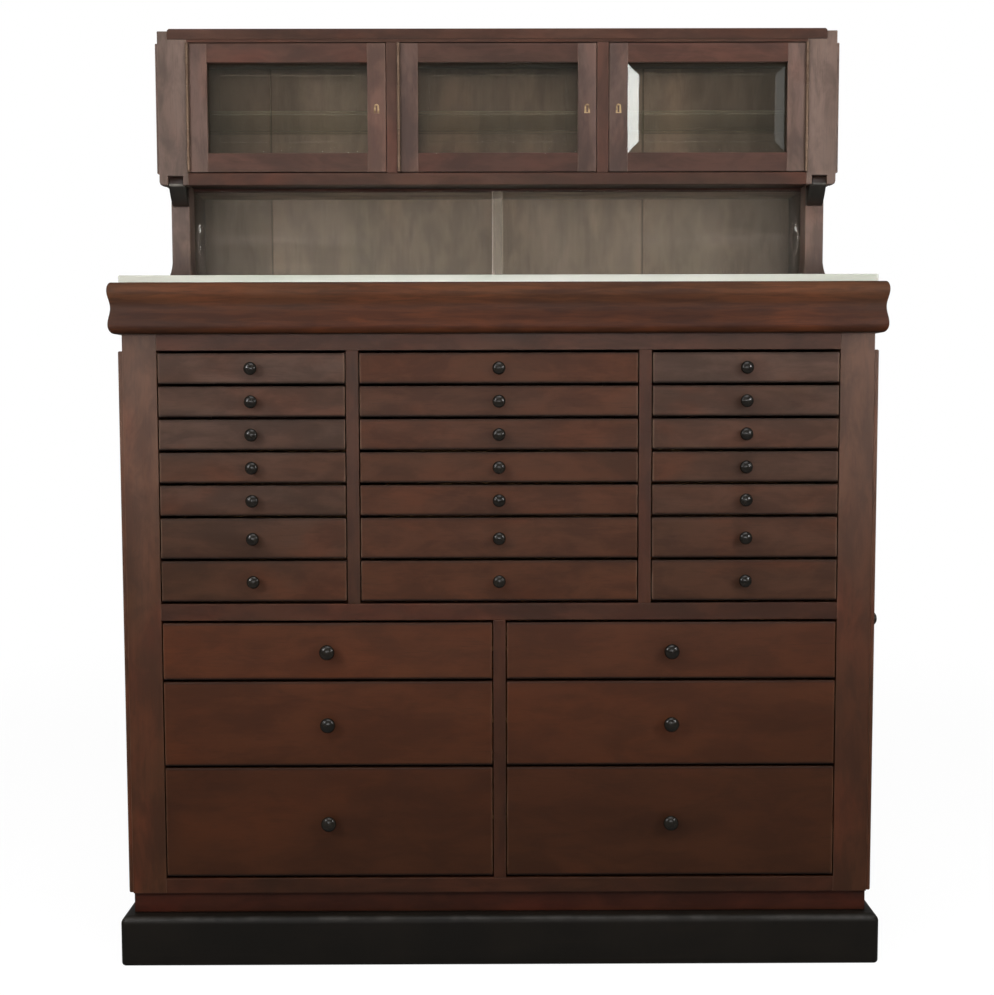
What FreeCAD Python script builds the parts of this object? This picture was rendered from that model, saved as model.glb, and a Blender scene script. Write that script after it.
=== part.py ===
import FreeCAD, Part
import math
import os

# A dentist's cabinet: a base of drawers on a plinth, a white worktop and a glazed hutch on two posts.
# +Z is up, the front faces -Y and +X is on the right of someone who faces the cabinet.
# The origin is on the floor under the middle of the plinth. All sizes are in millimetres.

# Base cabinet
case_width = 1204.0
case_depth = 440.0
board = 18.0
back_board = 8.0
case_back_boards = 3
frame_thick = 22.0
stile_width = 54.5
partition = 20.0
centre_bank_width = 450.0
guide_board = 10.0
bottom_rail = 26.5
middle_rail = 31.5
frieze_height = 28.5

# Plinth and the set-back neck above it
plinth_height = 82.0
plinth_overhang = 18.0
plinth_board = 30.0
plinth_top_round = 12.0
plinth_foot_round = 3.0
plinth_corner_round = 8.0
plinth_bearer = 60.0
neck_height = 34.0
neck_setback = 7.0
neck_board = 28.0

# Rows of drawers, as pitches from gap to gap
shallow_row = 53.0
shallow_rows = 5
deep_row = 69.5
deep_rows = 2
large_top_row = 96.5
large_middle_row = 142.0
large_bottom_row = 184.0

# Drawers
row_gap = 4.4
reveal = 2.0
front_thick = 20.0
front_chamfer = 1.5
small_side = 9.0
large_side = 12.0
small_bottom = 4.0
large_bottom = 6.0
side_gap = 2.0
side_below_top = 8.0
side_above_bottom = 4.0
bottom_lift = 4.0
box_back_gap = 26.0
groove_height = 8.0
groove_depth = 5.0
runner_clear = 0.3
stop_setback = 2.0
small_knob_radius = 10.5
small_knob_length = 17.0
large_knob_radius = 12.5
large_knob_length = 20.0

# Section of a turned knob: shares of its radius and of its length, from the stem to the face
knob_section = ((0.5, 0.0), (0.42, 0.42), (0.95, 0.55), (1.0, 0.72), (0.62, 1.0))
knob_sides = 16

# Proud side panel on the left, side door on the right
panel_proud = 7.0
panel_round = 3.0
panel_rear_gap = 20.0
panel_bottom_lift = 2.0
panel_top_lift = 1.5
lip_clear = 0.3
tongue_thick = 11.0
lip_cover = 22.0
tongue_clear = 1.5
side_knob_setback = 51.0

# Worktop
moulding_height = 81.0
moulding_overhang = 18.0
lower_bulge_overhang = 17.4
hollow_overhang = 13.7
bottom_flat = 9.0
top_flat = 12.0
lower_bulge_height = 13.8
hollow_height = 41.0
upper_bulge_height = 68.0
under_bow = 0.25
over_bow = 0.18
slab_thick = 12.0
slab_inset = 15.0
slab_round = 1.5

# Niche between worktop and hutch
niche_height = 180.0
post_width = 32.0
post_depth = 41.0
post_setback = 35.0
post_inset = 12.0
foot_block = 20.0
foot_height = 24.0
foot_flare = 6.5
foot_bend = 0.3
niche_wall = 18.0
niche_wall_cover = 8.0
corbel_width = 25.0
corbel_cheek = 4.0
corbel_setback = 4.0
corbel_drop = 37.0
corbel_nose_height = 8.0
corbel_foot = 6.0
corbel_belly_in = 0.42
corbel_belly_down = 0.62
head_height = 10.0
notch_clear = 0.5
track_height = 5.0
top_track_height = 4.0
track_lip = 2.0
pane_thick = 5.0
pane_clear = 0.5
pane_seat = 0.3
pane_overlap = 20.0
pane_end_gap = 2.0
top_groove_depth = 3.0
bottom_groove_depth = 3.0
pane_top_bite = 2.0
grip_length = 54.0
grip_width = 13.0
grip_depth = 1.8
grip_inset = 9.0

# Hutch
hutch_width = 1178.0
hutch_setback = 220.0
hutch_board = 17.5
hutch_frame_thick = 20.0
hutch_floor = 16.0
end_stile = 50.75
muntin = 20.0
door_opening_height = 222.5
hutch_bottom_rail = 21.0
hutch_top_rail = 19.5
hutch_top_rise = 4.0
hutch_top = 18.0
hutch_top_chamfer = 3.0
stile_corner_round = 7.0
hutch_panel_proud = 5.5
hutch_panel_chamfer = 2.0
shelf_height = 106.0
shelf_thick = 6.0
shelf_setback = 12.0
cleat = 8.0
back_left_width = 144.5
back_right_width = 296.5

# Glazed doors
door_thick = 20.0
door_gap = 1.25
hinge_gap = 2.5
door_stile = 32.0
door_rail = 33.0
glass_lip = 8.0
rebate = 7.0
glass_thick = 5.0
glass_clear = 1.0
glass_edge = 2.5
bevel = 26.0
bead = 6.0
leaf_thick = 1.0
leaf_depth = 16.0
barrel_radius = 3.0
barrel_clear = 0.2
pin_radius = 1.3
bore_clear = 0.05
knuckles = 3
knuckle_gap = 0.4
escutcheon_width = 8.5
escutcheon_foot = 10.0
escutcheon_height = 16.0
escutcheon_thick = 0.8
escutcheon_drop = 9.6
escutcheon_rim = 1.2
keyhole_slot = 3.0
keyhole_height = 12.0
lock_width = 22.0
lock_height = 46.0
lock_thick = 9.0

# Continuous hinge of the side door
side_leaf = 1.2

# Places that several pieces share
y_back = (case_depth + plinth_overhang) / 2
y_face = y_back - case_depth
y_inside = y_back - back_board
y_frame = y_face + frame_thick
x_case = case_width / 2
x_side = x_case - board
x_bank = x_case - stile_width
x_centre = centre_bank_width / 2
x_outer = x_centre + partition
z_case = plinth_height + neck_height
z_large = z_case + bottom_rail
z_large_top = z_large + large_bottom_row + large_middle_row + large_top_row
z_small = z_large_top + middle_rail
z_small_top = z_small + deep_rows * deep_row + shallow_rows * shallow_row
z_moulding = z_small_top + frieze_height
z_slab = z_moulding + moulding_height
z_worktop = z_slab + slab_thick
z_deck = z_large_top + (middle_rail - board) / 2
z_subtop = z_slab - board

y_hutch = y_face + hutch_setback
y_hutch_in = y_hutch + hutch_frame_thick
y_post = y_hutch + post_setback
y_pane = y_post + post_depth
x_hutch = hutch_width / 2
x_hutch_in = x_hutch - hutch_board
x_doors = x_hutch - end_stile
x_post = x_hutch - post_inset
x_niche = x_post - post_width + niche_wall_cover
door_opening = (2 * x_doors - 2 * muntin) / 3
x_muntin = door_opening / 2
z_soffit = z_worktop + niche_height
z_floor = z_soffit + hutch_floor
z_doors_top = z_floor + door_opening_height
z_hutch_rail = z_floor - hutch_bottom_rail
z_hutch_side = z_doors_top + hutch_top_rail
z_top = z_hutch_side + hutch_top_rise

y_panel = y_back - panel_rear_gap
z_panel = z_case + panel_bottom_lift
z_panel_top = z_small_top + panel_top_lift
z_panel_mid = (z_panel + z_panel_top) / 2


def vec(x, y, z):
    return FreeCAD.Vector(x, y, z)


def box(x0, x1, y0, y1, z0, z1):
    return Part.makeBox(x1 - x0, y1 - y0, z1 - z0, vec(x0, y0, z0))


def mirrored(shape):
    return shape.mirror(vec(0, 0, 0), vec(1, 0, 0))


def both(shape):
    return [shape, mirrored(shape)]


def outline(place, start, *steps):
    # A step of one point is a line, and a step of two points is an arc through the first to the second.
    edges = []
    here = start
    for step in steps:
        points = [place(*point) for point in (here,) + step]
        if len(step) == 1:
            edges.append(Part.makeLine(*points))
        else:
            edges.append(Part.Arc(*points).toShape())
        here = step[-1]
    return Part.Face(Part.Wire(edges))


def corner(cx, cz, radius, sx, sz):
    # The middle of a round corner, whose centre is (cx, cz), towards the side (sx, sz).
    reach = radius * 0.5 ** 0.5
    return cx + sx * reach, cz + sz * reach


def edges_on(shape, axis, value):
    def on_plane(edge):
        return all(abs(getattr(v.Point, axis) - value) < 1e-6 for v in edge.Vertexes)
    return [edge for edge in shape.Edges if on_plane(edge)]


def export(name, shapes):
    Part.makeCompound(shapes).exportStep("parts/" + name + ".step")


# Bands that go round the front and both sides with mitred corners

def mitre_cut(x_ref, y_ref, reach, to_side):
    # A wedge past the mitre line of the front left corner: beside it, or in front of it.
    inner = (-x_ref + reach, y_ref + reach)
    outer = (-x_ref - reach, y_ref - reach)
    dx, dy = (-4 * reach, 0) if to_side else (0, -4 * reach)
    points = [inner, outer, (outer[0] + dx, outer[1] + dy), (inner[0] + dx, inner[1] + dy), inner]
    wire = Part.makePolygon([vec(x, y, -reach) for x, y in points])
    return Part.Face(wire).extrude(vec(0, 0, z_top + 2 * reach))


def mitred_band(start, *rest):
    # The points of the section are (distance out of the case's faces, height).
    x_ref, y_ref = x_case, y_face
    reach = 2 * max(abs(out) for step in rest for out, z in step)
    span = x_ref + reach
    front = outline(lambda out, z: vec(-span, y_ref - out, z), start, *rest).extrude(vec(2 * span, 0, 0))
    beside = mitre_cut(x_ref, y_ref, reach, True)
    front = front.cut(beside).cut(mirrored(beside))
    run = y_back - y_ref + reach
    side = outline(lambda out, z: vec(-x_ref - out, y_ref - reach, z), start, *rest).extrude(vec(0, run, 0))
    side = side.cut(mitre_cut(x_ref, y_ref, reach, False))
    return [front] + both(side)


def plinth():
    out, r, s = plinth_overhang, plinth_top_round, plinth_foot_round
    inner = plinth_overhang - plinth_board
    band = mitred_band((inner, 0),
                       ((out - s, 0),),
                       (corner(out - s, s, s, 1, -1), (out, s)),
                       ((out, plinth_height - r),),
                       (corner(out - r, plinth_height - r, r, 1, 1), (out - r, plinth_height)),
                       ((inner, plinth_height),),
                       ((inner, 0),))
    hull = box(-x_case - out, x_case + out, y_face - out, y_back, 0, plinth_height)
    corners = [e for e in edges_on(hull, "y", y_face - out) if abs(e.CenterOfMass.x) > x_case]
    hull = hull.makeFillet(plinth_corner_round, corners)
    band = [piece.common(hull) for piece in band]
    x_in, x_bearer = x_case + inner, plinth_bearer / 2
    y0, y1 = y_face - inner, y_back + inner
    rail = box(-x_in, x_in, y1, y_back, 0, plinth_height)
    bearer = box(-x_bearer, x_bearer, y0, y1, 0, plinth_height)
    return band + [rail, bearer]


def base_frame():
    y0 = y_face + neck_setback
    z0, z1 = plinth_height, z_case
    front = box(-x_case, x_case, y0, y0 + neck_board, z0, z1)
    side = box(-x_case, -x_case + neck_board, y0 + neck_board, y_back, z0, z1)
    back = box(-x_case + neck_board, x_case - neck_board, y_back - neck_board, y_back, z0, z1)
    return [front, back] + both(side)


def moulding():
    def swell(out0, z0, out1, z1):
        # Two arcs that leave and arrive upright, one bending back into the other.
        d, h = out1 - out0, z1 - z0
        return (((out0 + d / 8, z0 + h / 4), (out0 + d / 2, z0 + h / 2)),
                ((out1 - d / 8, z1 - h / 4), (out1, z1)))
    z = z_moulding
    lower = (lower_bulge_overhang, z + lower_bulge_height)
    hollow = (hollow_overhang, z + hollow_height)
    upper = (moulding_overhang, z + upper_bulge_height)
    under = (lower[0] - under_bow * (lower[0] - bottom_flat), z + lower_bulge_height / 2)
    over = (upper[0] - over_bow * (upper[0] - top_flat), (upper[1] + z_slab) / 2)
    return mitred_band((0, z), ((bottom_flat, z),), (under, lower),
                       *swell(*lower, *hollow), *swell(*hollow, *upper),
                       (over, (top_flat, z_slab)), ((0, z_slab),), ((0, z),))


def worktop_slab():
    x = x_case + moulding_overhang - slab_inset
    slab = box(-x, x, y_face - moulding_overhang + slab_inset, y_back, z_slab, z_worktop)
    edges = [e for e in edges_on(slab, "z", z_worktop) if e.CenterOfMass.y < y_back - slab_round]
    return [slab.makeFillet(slab_round, edges)]


# Base carcase

def case_sides():
    side = box(-x_case, -x_side, y_frame, y_inside, z_case, z_slab)
    low, high = z_panel + lip_cover, z_panel_top - lip_cover
    doorway = box(x_side, x_case, y_frame, y_panel - lip_cover, low, high)
    return [side, mirrored(side).cut(doorway)]


def face_frame():
    stile = box(-x_case, -x_bank, y_face, y_frame, z_case, z_slab)
    edge = row_gap / 2
    rails = [(z_case, z_large - edge), (z_large_top + edge, z_small - edge), (z_small_top + edge, z_slab)]
    return both(stile) + [box(-x_bank, x_bank, y_face, y_frame, low, high) for low, high in rails]


def upright(x0, thick, z0, z1, open0, open1):
    # A partition whose front edge shows between the rails, from open0 to open1.
    def place(y, z):
        return vec(x0, y, z)
    corners = [(y_frame, z0), (y_inside, z0), (y_inside, z1), (y_frame, z1), (y_frame, open1),
               (y_face, open1), (y_face, open0), (y_frame, open0), (y_frame, z0)]
    return outline(place, corners[0], *[(p,) for p in corners[1:]]).extrude(vec(thick, 0, 0))


def case_partitions():
    edge = row_gap / 2
    small = upright(x_centre, partition, z_deck + board, z_subtop, z_small - edge, z_small_top + edge)
    large = upright(-partition / 2, partition, z_case + board, z_deck, z_large - edge, z_large_top + edge)
    lower = box(x_bank, x_bank + guide_board, y_frame, y_inside, z_case + board, z_deck)
    upper = box(x_bank, x_bank + guide_board, y_frame, y_inside, z_deck + board, z_subtop)
    return both(small) + [large] + both(lower) + both(upper)


def case_decks():
    def deck(z):
        return box(-x_side, x_side, y_frame, y_inside, z, z + board)
    return [deck(z_case), deck(z_deck), deck(z_subtop)]


def case_back():
    width = case_width / case_back_boards
    first = box(-x_case, -x_case + width, y_inside, y_back, z_case, z_slab)
    return [first.translated(vec(i * width, 0, 0)) for i in range(case_back_boards)]


def side_panel():
    panel = box(-x_case - panel_proud, -x_case, y_face, y_panel, z_panel, z_panel_top)
    return [panel.makeFillet(panel_round, edges_on(panel, "x", -x_case - panel_proud))]


# Drawers. A bank is (left wall, right wall), and a row is (lower gap, upper gap).

def knob(x, y, z, radius, length):
    # A turned form in flats: rings of corners from the stem to the face, joined by plane faces.
    def ring_of(r_share, out_share):
        turns = [2 * math.pi * i / knob_sides for i in range(knob_sides)]
        r, out = r_share * radius, out_share * length
        return [vec(x + r * math.cos(t), y - out, z + r * math.sin(t)) for t in turns]

    def flat(*corners):
        return Part.Face(Part.makePolygon(corners + corners[:1]))
    rings = [ring_of(*stage) for stage in knob_section]
    faces = [flat(*rings[0]), flat(*rings[-1])]
    for low, high in zip(rings, rings[1:]):
        faces += [flat(low[i - 1], low[i], high[i], high[i - 1]) for i in range(knob_sides)]
    return Part.Solid(Part.Shell(faces))


def groove_span(row):
    middle = (row[0] + row[1]) / 2
    return middle - groove_height / 2, middle + groove_height / 2


def drawer(bank, row, side, bottom, knob_radius, knob_length):
    x0, x1 = bank[0] + reveal, bank[1] - reveal
    z0, z1 = row[0] + row_gap / 2, row[1] - row_gap / 2
    y0, y1 = y_face + front_thick, y_inside - box_back_gap
    front = box(x0, x1, y_face, y0, z0, z1)
    front = front.makeChamfer(front_chamfer, edges_on(front, "y", y_face))
    low, high = z0 + side_above_bottom, z1 - side_below_top
    left, right = bank[0] + side_gap, bank[1] - side_gap
    cut0, cut1 = groove_span(row)
    y_groove = y0 + stop_setback

    def side_board(wall, inner):
        panel = box(min(wall, inner), max(wall, inner), y0, y1, low, high)
        deep = wall + (groove_depth if inner > wall else -groove_depth)
        return panel.cut(box(min(wall, deep), max(wall, deep), y_groove, y1, cut0, cut1))

    in0, in1 = left + side, right - side
    floor = low + bottom_lift
    pieces = [front, side_board(left, in0), side_board(right, in1)]
    pieces.append(box(in0, in1, y1 - side, y1, floor, high))
    pieces.append(box(in0, in1, y0, y1 - side, floor, floor + bottom))
    pieces.append(knob((x0 + x1) / 2, y_face, (z0 + z1) / 2, knob_radius, knob_length))
    return pieces


def runners(bank, row):
    cut0, cut1 = groove_span(row)
    reach = side_gap + groove_depth - runner_clear
    y0 = y_face + front_thick + stop_setback + runner_clear
    z0, z1 = cut0 + runner_clear, cut1 - runner_clear
    left = box(bank[0], bank[0] + reach, y0, y_inside, z0, z1)
    right = box(bank[1] - reach, bank[1], y0, y_inside, z0, z1)
    return [left, right]


def rows_down(top, pitches):
    rows = []
    for pitch in pitches:
        rows.append((top - pitch, top))
        top -= pitch
    return rows


small_banks = {"left": (-x_bank, -x_outer), "centre": (-x_centre, x_centre), "right": (x_outer, x_bank)}
small_rows = rows_down(z_small_top, [shallow_row] * shallow_rows + [deep_row] * deep_rows)
large_banks = {"left": (-x_bank, -partition / 2), "right": (partition / 2, x_bank)}
large_rows = rows_down(z_large_top, [large_top_row, large_middle_row, large_bottom_row])


# Side door on the right, a lipped board with its hinges at the rear edge

def side_door():
    x0 = x_case + lip_clear
    lip = box(x0, x_case + panel_proud, y_face, y_panel, z_panel, z_panel_top)
    lip = lip.makeFillet(panel_round, edges_on(lip, "x", x_case + panel_proud))
    inset = lip_cover + tongue_clear
    tongue = box(x_case - tongue_thick, x0, y_frame + tongue_clear, y_panel - inset,
                 z_panel + inset, z_panel_top - inset)
    pull = knob(0, 0, 0, small_knob_radius, small_knob_length)
    pull.rotate(vec(0, 0, 0), vec(0, 0, 1), 90)
    pull.translate(vec(x_case + panel_proud, y_face + side_knob_setback, z_panel_mid))
    return [lip.fuse(tongue).removeSplitter(), pull]


x_side_pin = x_case + panel_proud / 2
y_side_pin = y_panel + side_leaf + barrel_radius + barrel_clear
z_side_hinge = (z_panel + panel_round, z_panel_top - panel_round)
ring_wall = (barrel_radius + pin_radius + bore_clear) / 2


# Hinges. Of their knuckles the moving leaf has the even ones, which turn on the fixed leaf's pin.

def cylinder(radius, x, y, z0, z1):
    return Part.makeCylinder(radius, z1 - z0, vec(x, y, z0))


def ring(x, y, z0, z1):
    return cylinder(barrel_radius, x, y, z0, z1).cut(cylinder(pin_radius + bore_clear, x, y, z0, z1))


def knuckle_spans(z0, z1, moving):
    pitch = (z1 - z0) / knuckles
    half = knuckle_gap / 2
    spans = [(z0 + i * pitch + half, z0 + (i + 1) * pitch - half) for i in range(knuckles)]
    return spans[1::2] if moving else spans[::2]


def joined(shapes):
    return shapes[0].multiFuse(shapes[1:]).removeSplitter()


def side_hinge_leaf():
    z0, z1 = z_side_hinge
    x0, x1 = x_case + lip_clear, x_case + panel_proud - panel_round
    pieces = [box(x0, x1, y_panel, y_panel + side_leaf, z0, z1)]
    for low, high in knuckle_spans(z0, z1, True):
        pieces.append(box(x_side_pin - side_leaf / 2, x1, y_panel, y_side_pin - ring_wall, low, high))
        pieces.append(ring(x_side_pin, y_side_pin, low, high))
    return joined(pieces)


def side_hinge_jamb():
    z0, z1 = z_side_hinge
    clear = barrel_radius + barrel_clear
    pieces = [box(x_case, x_case + side_leaf, y_side_pin + clear, y_back, z0, z1)]
    spans = knuckle_spans(z0, z1, False)
    pieces.append(cylinder(pin_radius, x_side_pin, y_side_pin, spans[0][0], spans[-1][1]))
    for low, high in spans:
        pieces.append(box(x_case, x_case + side_leaf, y_side_pin, y_side_pin + clear, low, high))
        pieces.append(cylinder(barrel_radius, x_side_pin, y_side_pin, low, high))
    return joined(pieces)


# Niche: posts, corbels, tracks and sliding panes

def niche_post():
    def front_view(x, z):
        return vec(x, y_post - foot_flare, z)

    def side_view(y, z):
        return vec(-x_post - foot_flare, y, z)
    # A square block stands on the worktop, and a cove leads from it to the shaft.
    x0, x1 = -x_post, -x_post + post_width
    wide0, wide1, y_wide = x0 - foot_flare, x1 + foot_flare, y_post - foot_flare
    z0, z1 = z_worktop + foot_block, z_worktop + foot_block + foot_height
    bend = foot_bend * foot_flare
    z_bend = z0 + foot_bend * foot_height
    seen = outline(front_view, (wide0, z_worktop), ((wide1, z_worktop),), ((wide1, z0),),
                   ((x1 + bend, z_bend), (x1, z1)), ((x1, z_soffit),), ((x0, z_soffit),),
                   ((x0, z1),), ((x0 - bend, z_bend), (wide0, z0)), ((wide0, z_worktop),))
    profile = outline(side_view, (y_wide, z_worktop), ((y_pane, z_worktop),), ((y_pane, z_soffit),),
                      ((y_post, z_soffit),), ((y_post, z1),),
                      ((y_post - bend, z_bend), (y_wide, z0)), ((y_wide, z_worktop),))
    deep = seen.extrude(vec(0, post_depth + 2 * foot_flare, 0))
    return deep.common(profile.extrude(vec(post_width + 2 * foot_flare, 0, 0)))


x_corbel = x_post - (post_width - corbel_width) / 2
y_corbel = y_hutch + corbel_setback


def corbel():
    # The head stands in a notch of the end stile, and a nose and a belly lead down to the post.
    # Below the stile the corbel is wider by a cheek on its inner side.
    def place(y, z):
        return vec(-x_corbel, y, z)
    z1 = z_soffit
    head = z1 + head_height
    nose = z1 - corbel_nose_height
    low = z1 - corbel_drop
    y_foot = y_post - corbel_foot
    bulge = corbel_setback / 2
    belly = (y_corbel + corbel_belly_in * (y_foot - y_corbel),
             nose + corbel_belly_down * (low - nose))
    face = outline(place, (y_post, low), ((y_post, z1),), ((y_hutch_in, z1),), ((y_hutch_in, head),),
                   ((y_corbel, head),), ((y_corbel, z1),),
                   ((y_corbel - bulge, (z1 + nose) / 2), (y_corbel, nose)),
                   (belly, (y_foot, low)), ((y_post, low),))
    x0, x1 = -x_corbel, -x_corbel + corbel_width + corbel_cheek
    under = box(x0, x1, y_corbel - bulge, y_post, low, z_hutch_rail - notch_clear)
    cheeked = face.extrude(vec(x1 - x0, 0, 0)).common(under)
    return face.extrude(vec(corbel_width, 0, 0)).fuse(cheeked).removeSplitter()


groove = pane_thick + 2 * pane_clear
track_depth = 2 * groove + 3 * track_lip


def track(z0, z1, open_z):
    # A strip with two grooves, open at its lower or upper face.
    strip = box(-x_niche, x_niche, y_pane, y_pane + track_depth, z0, z1)
    for i in range(2):
        y0 = y_pane + track_lip + i * (groove + track_lip)
        strip = strip.cut(box(-x_niche, x_niche, y0, y0 + groove, *open_z))
    return strip


def pane_tracks():
    z0, z1 = z_worktop, z_worktop + track_height
    bottom = track(z0, z1, (z1 - bottom_groove_depth, z1))
    z2 = z_soffit - top_track_height
    top = track(z2, z_soffit, (z2, z2 + top_groove_depth))
    return [bottom, top]


def sliding_pane(index, side):
    # Pane 0 runs in the front groove and pane 1 in the rear one. A wheel ground its grip in near the post.
    y0 = y_pane + track_lip + index * (groove + track_lip) + pane_clear
    z0 = z_worktop + track_height - bottom_groove_depth + pane_seat
    z1 = z_soffit - top_track_height + pane_top_bite
    x_end = x_niche - pane_end_gap
    pane = box(-x_end, pane_overlap / 2, y0, y0 + pane_thick, z0, z1)
    chord = grip_length / 2
    swing = (chord ** 2 + grip_depth ** 2) / (2 * grip_depth)
    x, z = -x_post + post_width + grip_inset, (z0 + z1) / 2
    centre = vec(x - grip_width / 2, y0 + grip_depth - swing, z)
    pane = pane.cut(Part.makeCylinder(swing, grip_width, centre, vec(1, 0, 0)))
    return pane if side == "left" else mirrored(pane)


# Hutch

def hutch_back():
    z0, z1 = z_worktop, z_top - hutch_top
    cuts = [-x_hutch_in, -x_hutch_in + back_left_width, x_hutch_in - back_right_width, x_hutch_in]
    return [box(x0, x1, y_inside, y_back, z0, z1) for x0, x1 in zip(cuts, cuts[1:])]


def hutch_sides():
    side = box(-x_hutch, -x_hutch_in, y_hutch_in, y_back, z_soffit, z_hutch_side)
    outer = -x_hutch - hutch_panel_proud
    panel = box(outer, -x_hutch, y_hutch + stile_corner_round, y_back, z_floor, z_doors_top)
    panel = panel.makeChamfer(hutch_panel_chamfer, edges_on(panel, "x", outer))
    wall = box(-x_niche - niche_wall, -x_niche, y_pane, y_inside, z_worktop, z_soffit)
    return both(side) + both(panel) + both(wall)


z_shelf = z_floor + shelf_height
compartments = [(-x_doors, -x_muntin - muntin), (-x_muntin, x_muntin), (x_muntin + muntin, x_doors)]


def hutch_boards():
    floor = box(-x_hutch_in, x_hutch_in, y_hutch_in, y_inside, z_soffit, z_floor)
    top = box(-x_hutch_in, x_hutch_in, y_hutch, y_back, z_top - hutch_top, z_top)
    ends = [edge for x in (-x_hutch_in, x_hutch_in) for edge in edges_on(top, "x", x)]
    top = top.makeChamfer(hutch_top_chamfer, [edge for edge in ends if edge.CenterOfMass.z > z_hutch_side])
    body = box(x_muntin, x_muntin + muntin, y_hutch_in, y_inside, z_floor, z_top - hutch_top)
    edge = box(x_muntin, x_muntin + muntin, y_hutch, y_hutch_in, z_floor, z_doors_top)
    pieces = [floor, top] + both(body.fuse(edge).removeSplitter())
    walls = [(-x_hutch_in, compartments[0][1]), compartments[1], (compartments[2][0], x_hutch_in)]
    for x0, x1 in walls:
        for x in (x0, x1 - cleat):
            pieces.append(box(x, x + cleat, y_hutch_in + shelf_setback, y_inside, z_shelf - cleat, z_shelf))
    return pieces


def hutch_face_frame():
    def place(x, z):
        return vec(x, y_hutch, z)
    r = stile_corner_round
    x0, x1 = -x_hutch, -x_doors
    low, high = z_hutch_rail, z_hutch_side
    n0 = -x_corbel - notch_clear
    n1 = -x_corbel + corbel_width + notch_clear
    head = z_soffit + head_height + notch_clear
    stile = outline(place, (x0 + r, low), ((n0, low),), ((n0, head),), ((n1, head),), ((n1, low),),
                    ((x1, low),), ((x1, high),), ((x0, high),), ((x0, low + r),),
                    (corner(x0 + r, low + r, r, -1, -1), (x0 + r, low)))
    stile = stile.extrude(vec(0, hutch_frame_thick, 0))
    bottom = box(-x_doors, x_doors, y_hutch, y_hutch_in, z_hutch_rail, z_floor)
    top = box(-x_doors, x_doors, y_hutch, y_hutch_in, z_doors_top, z_top - hutch_top)
    stile = stile.cut(box(-x_hutch_in, x1, y_hutch, y_hutch_in, z_top - hutch_top, high))
    return both(stile) + [bottom, top]


def glass_shelves():
    walls = [-x_hutch_in, compartments[0][1], *compartments[1], compartments[2][0], x_hutch_in]
    y0, y1 = y_hutch_in + shelf_setback, y_inside - glass_clear
    pieces = []
    for x0, x1 in zip(walls[::2], walls[1::2]):
        pieces.append(box(x0 + glass_clear, x1 - glass_clear, y0, y1, z_shelf, z_shelf + shelf_thick))
    return pieces


# Glazed doors. hinge is -1 for a door that hangs on its left edge and +1 for one on its right edge.

def door_span(opening, hinge):
    left, right = opening
    if hinge < 0:
        return left + hinge_gap, right - door_gap
    return left + door_gap, right - hinge_gap


z_door = z_floor + door_gap
z_door_top = z_doors_top - door_gap
z_door_mid = (z_door + z_door_top) / 2


def lock_place(opening, hinge):
    left, right = door_span(opening, hinge)
    return right - door_stile / 2 if hinge < 0 else left + door_stile / 2


def keyhole(x, y0, y1):
    z0 = z_door_mid - escutcheon_drop + escutcheon_rim
    return box(x - keyhole_slot / 2, x + keyhole_slot / 2, y0, y1, z0, z0 + keyhole_height)


def escutcheon(x):
    # A plate with a round top and a skirt that widens to its foot, round the keyhole.
    def place(dx, dz):
        return vec(x + dx, y_hutch - escutcheon_thick, z_door_mid + dz)
    half, foot, low = escutcheon_width / 2, escutcheon_foot / 2, -escutcheon_drop
    top = low + escutcheon_height
    spring = top - half
    face = outline(place, (-foot, low), ((foot, low),), ((half, spring),),
                   ((0, top), (-half, spring)), ((-foot, low),))
    plate = face.extrude(vec(0, escutcheon_thick, 0))
    return plate.cut(keyhole(x, y_hutch - escutcheon_thick, y_hutch))


def door_frame(opening, hinge):
    left, right = door_span(opening, hinge)
    y0, y1 = y_hutch, y_hutch + door_thick
    in0, in1 = left + door_stile, right - door_stile
    low, high = z_door + door_rail, z_door_top - door_rail
    bed = box(in0 - rebate, in1 + rebate, y0 + glass_lip, y1, low - rebate, high + rebate)
    x_lock = lock_place(opening, hinge)
    stiles = [box(left, in0, y0, y1, z_door, z_door_top), box(in1, right, y0, y1, z_door, z_door_top)]
    rails = [box(in0, in1, y0, y1, z_door, low), box(in0, in1, y0, y1, high, z_door_top)]
    members = [piece.cut(bed) for piece in stiles + rails]
    lock_stile = 1 if hinge < 0 else 0
    members[lock_stile] = members[lock_stile].cut(keyhole(x_lock, y0, y1))
    b0, b1 = y0 + glass_lip + glass_thick, y1
    for z in (low - rebate, high + rebate - bead):
        members.append(box(in0 - rebate, in1 + rebate, b0, b1, z, z + bead))
    for x in (in0 - rebate, in1 + rebate - bead):
        members.append(box(x, x + bead, b0, b1, low - rebate + bead, high + rebate - bead))
    return members


def door_glass(opening, hinge):
    left, right = door_span(opening, hinge)
    spread = rebate - glass_clear
    x0, x1 = left + door_stile - spread, right - door_stile + spread
    z0, z1 = z_door + door_rail - spread, z_door_top - door_rail + spread
    y0 = y_hutch + glass_lip
    y1 = y0 + glass_thick
    y_edge = y1 - glass_edge

    def bevelled(place, low, high, run):
        return outline(place, (low, y_edge), ((low + bevel, y0),), ((high - bevel, y0),),
                       ((high, y_edge),), ((high, y1),), ((low, y1),), ((low, y_edge),)).extrude(run)

    across = bevelled(lambda x, y: vec(x, y, z0), x0, x1, vec(0, 0, z1 - z0))
    upright_pane = bevelled(lambda z, y: vec(x0, y, z), z0, z1, vec(x1 - x0, 0, 0))
    return [across.common(upright_pane)]


def hinge_axis(opening, hinge):
    edge = opening[0] if hinge < 0 else opening[1]
    return edge - hinge * hinge_gap / 2, y_hutch - barrel_radius - barrel_clear


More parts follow.
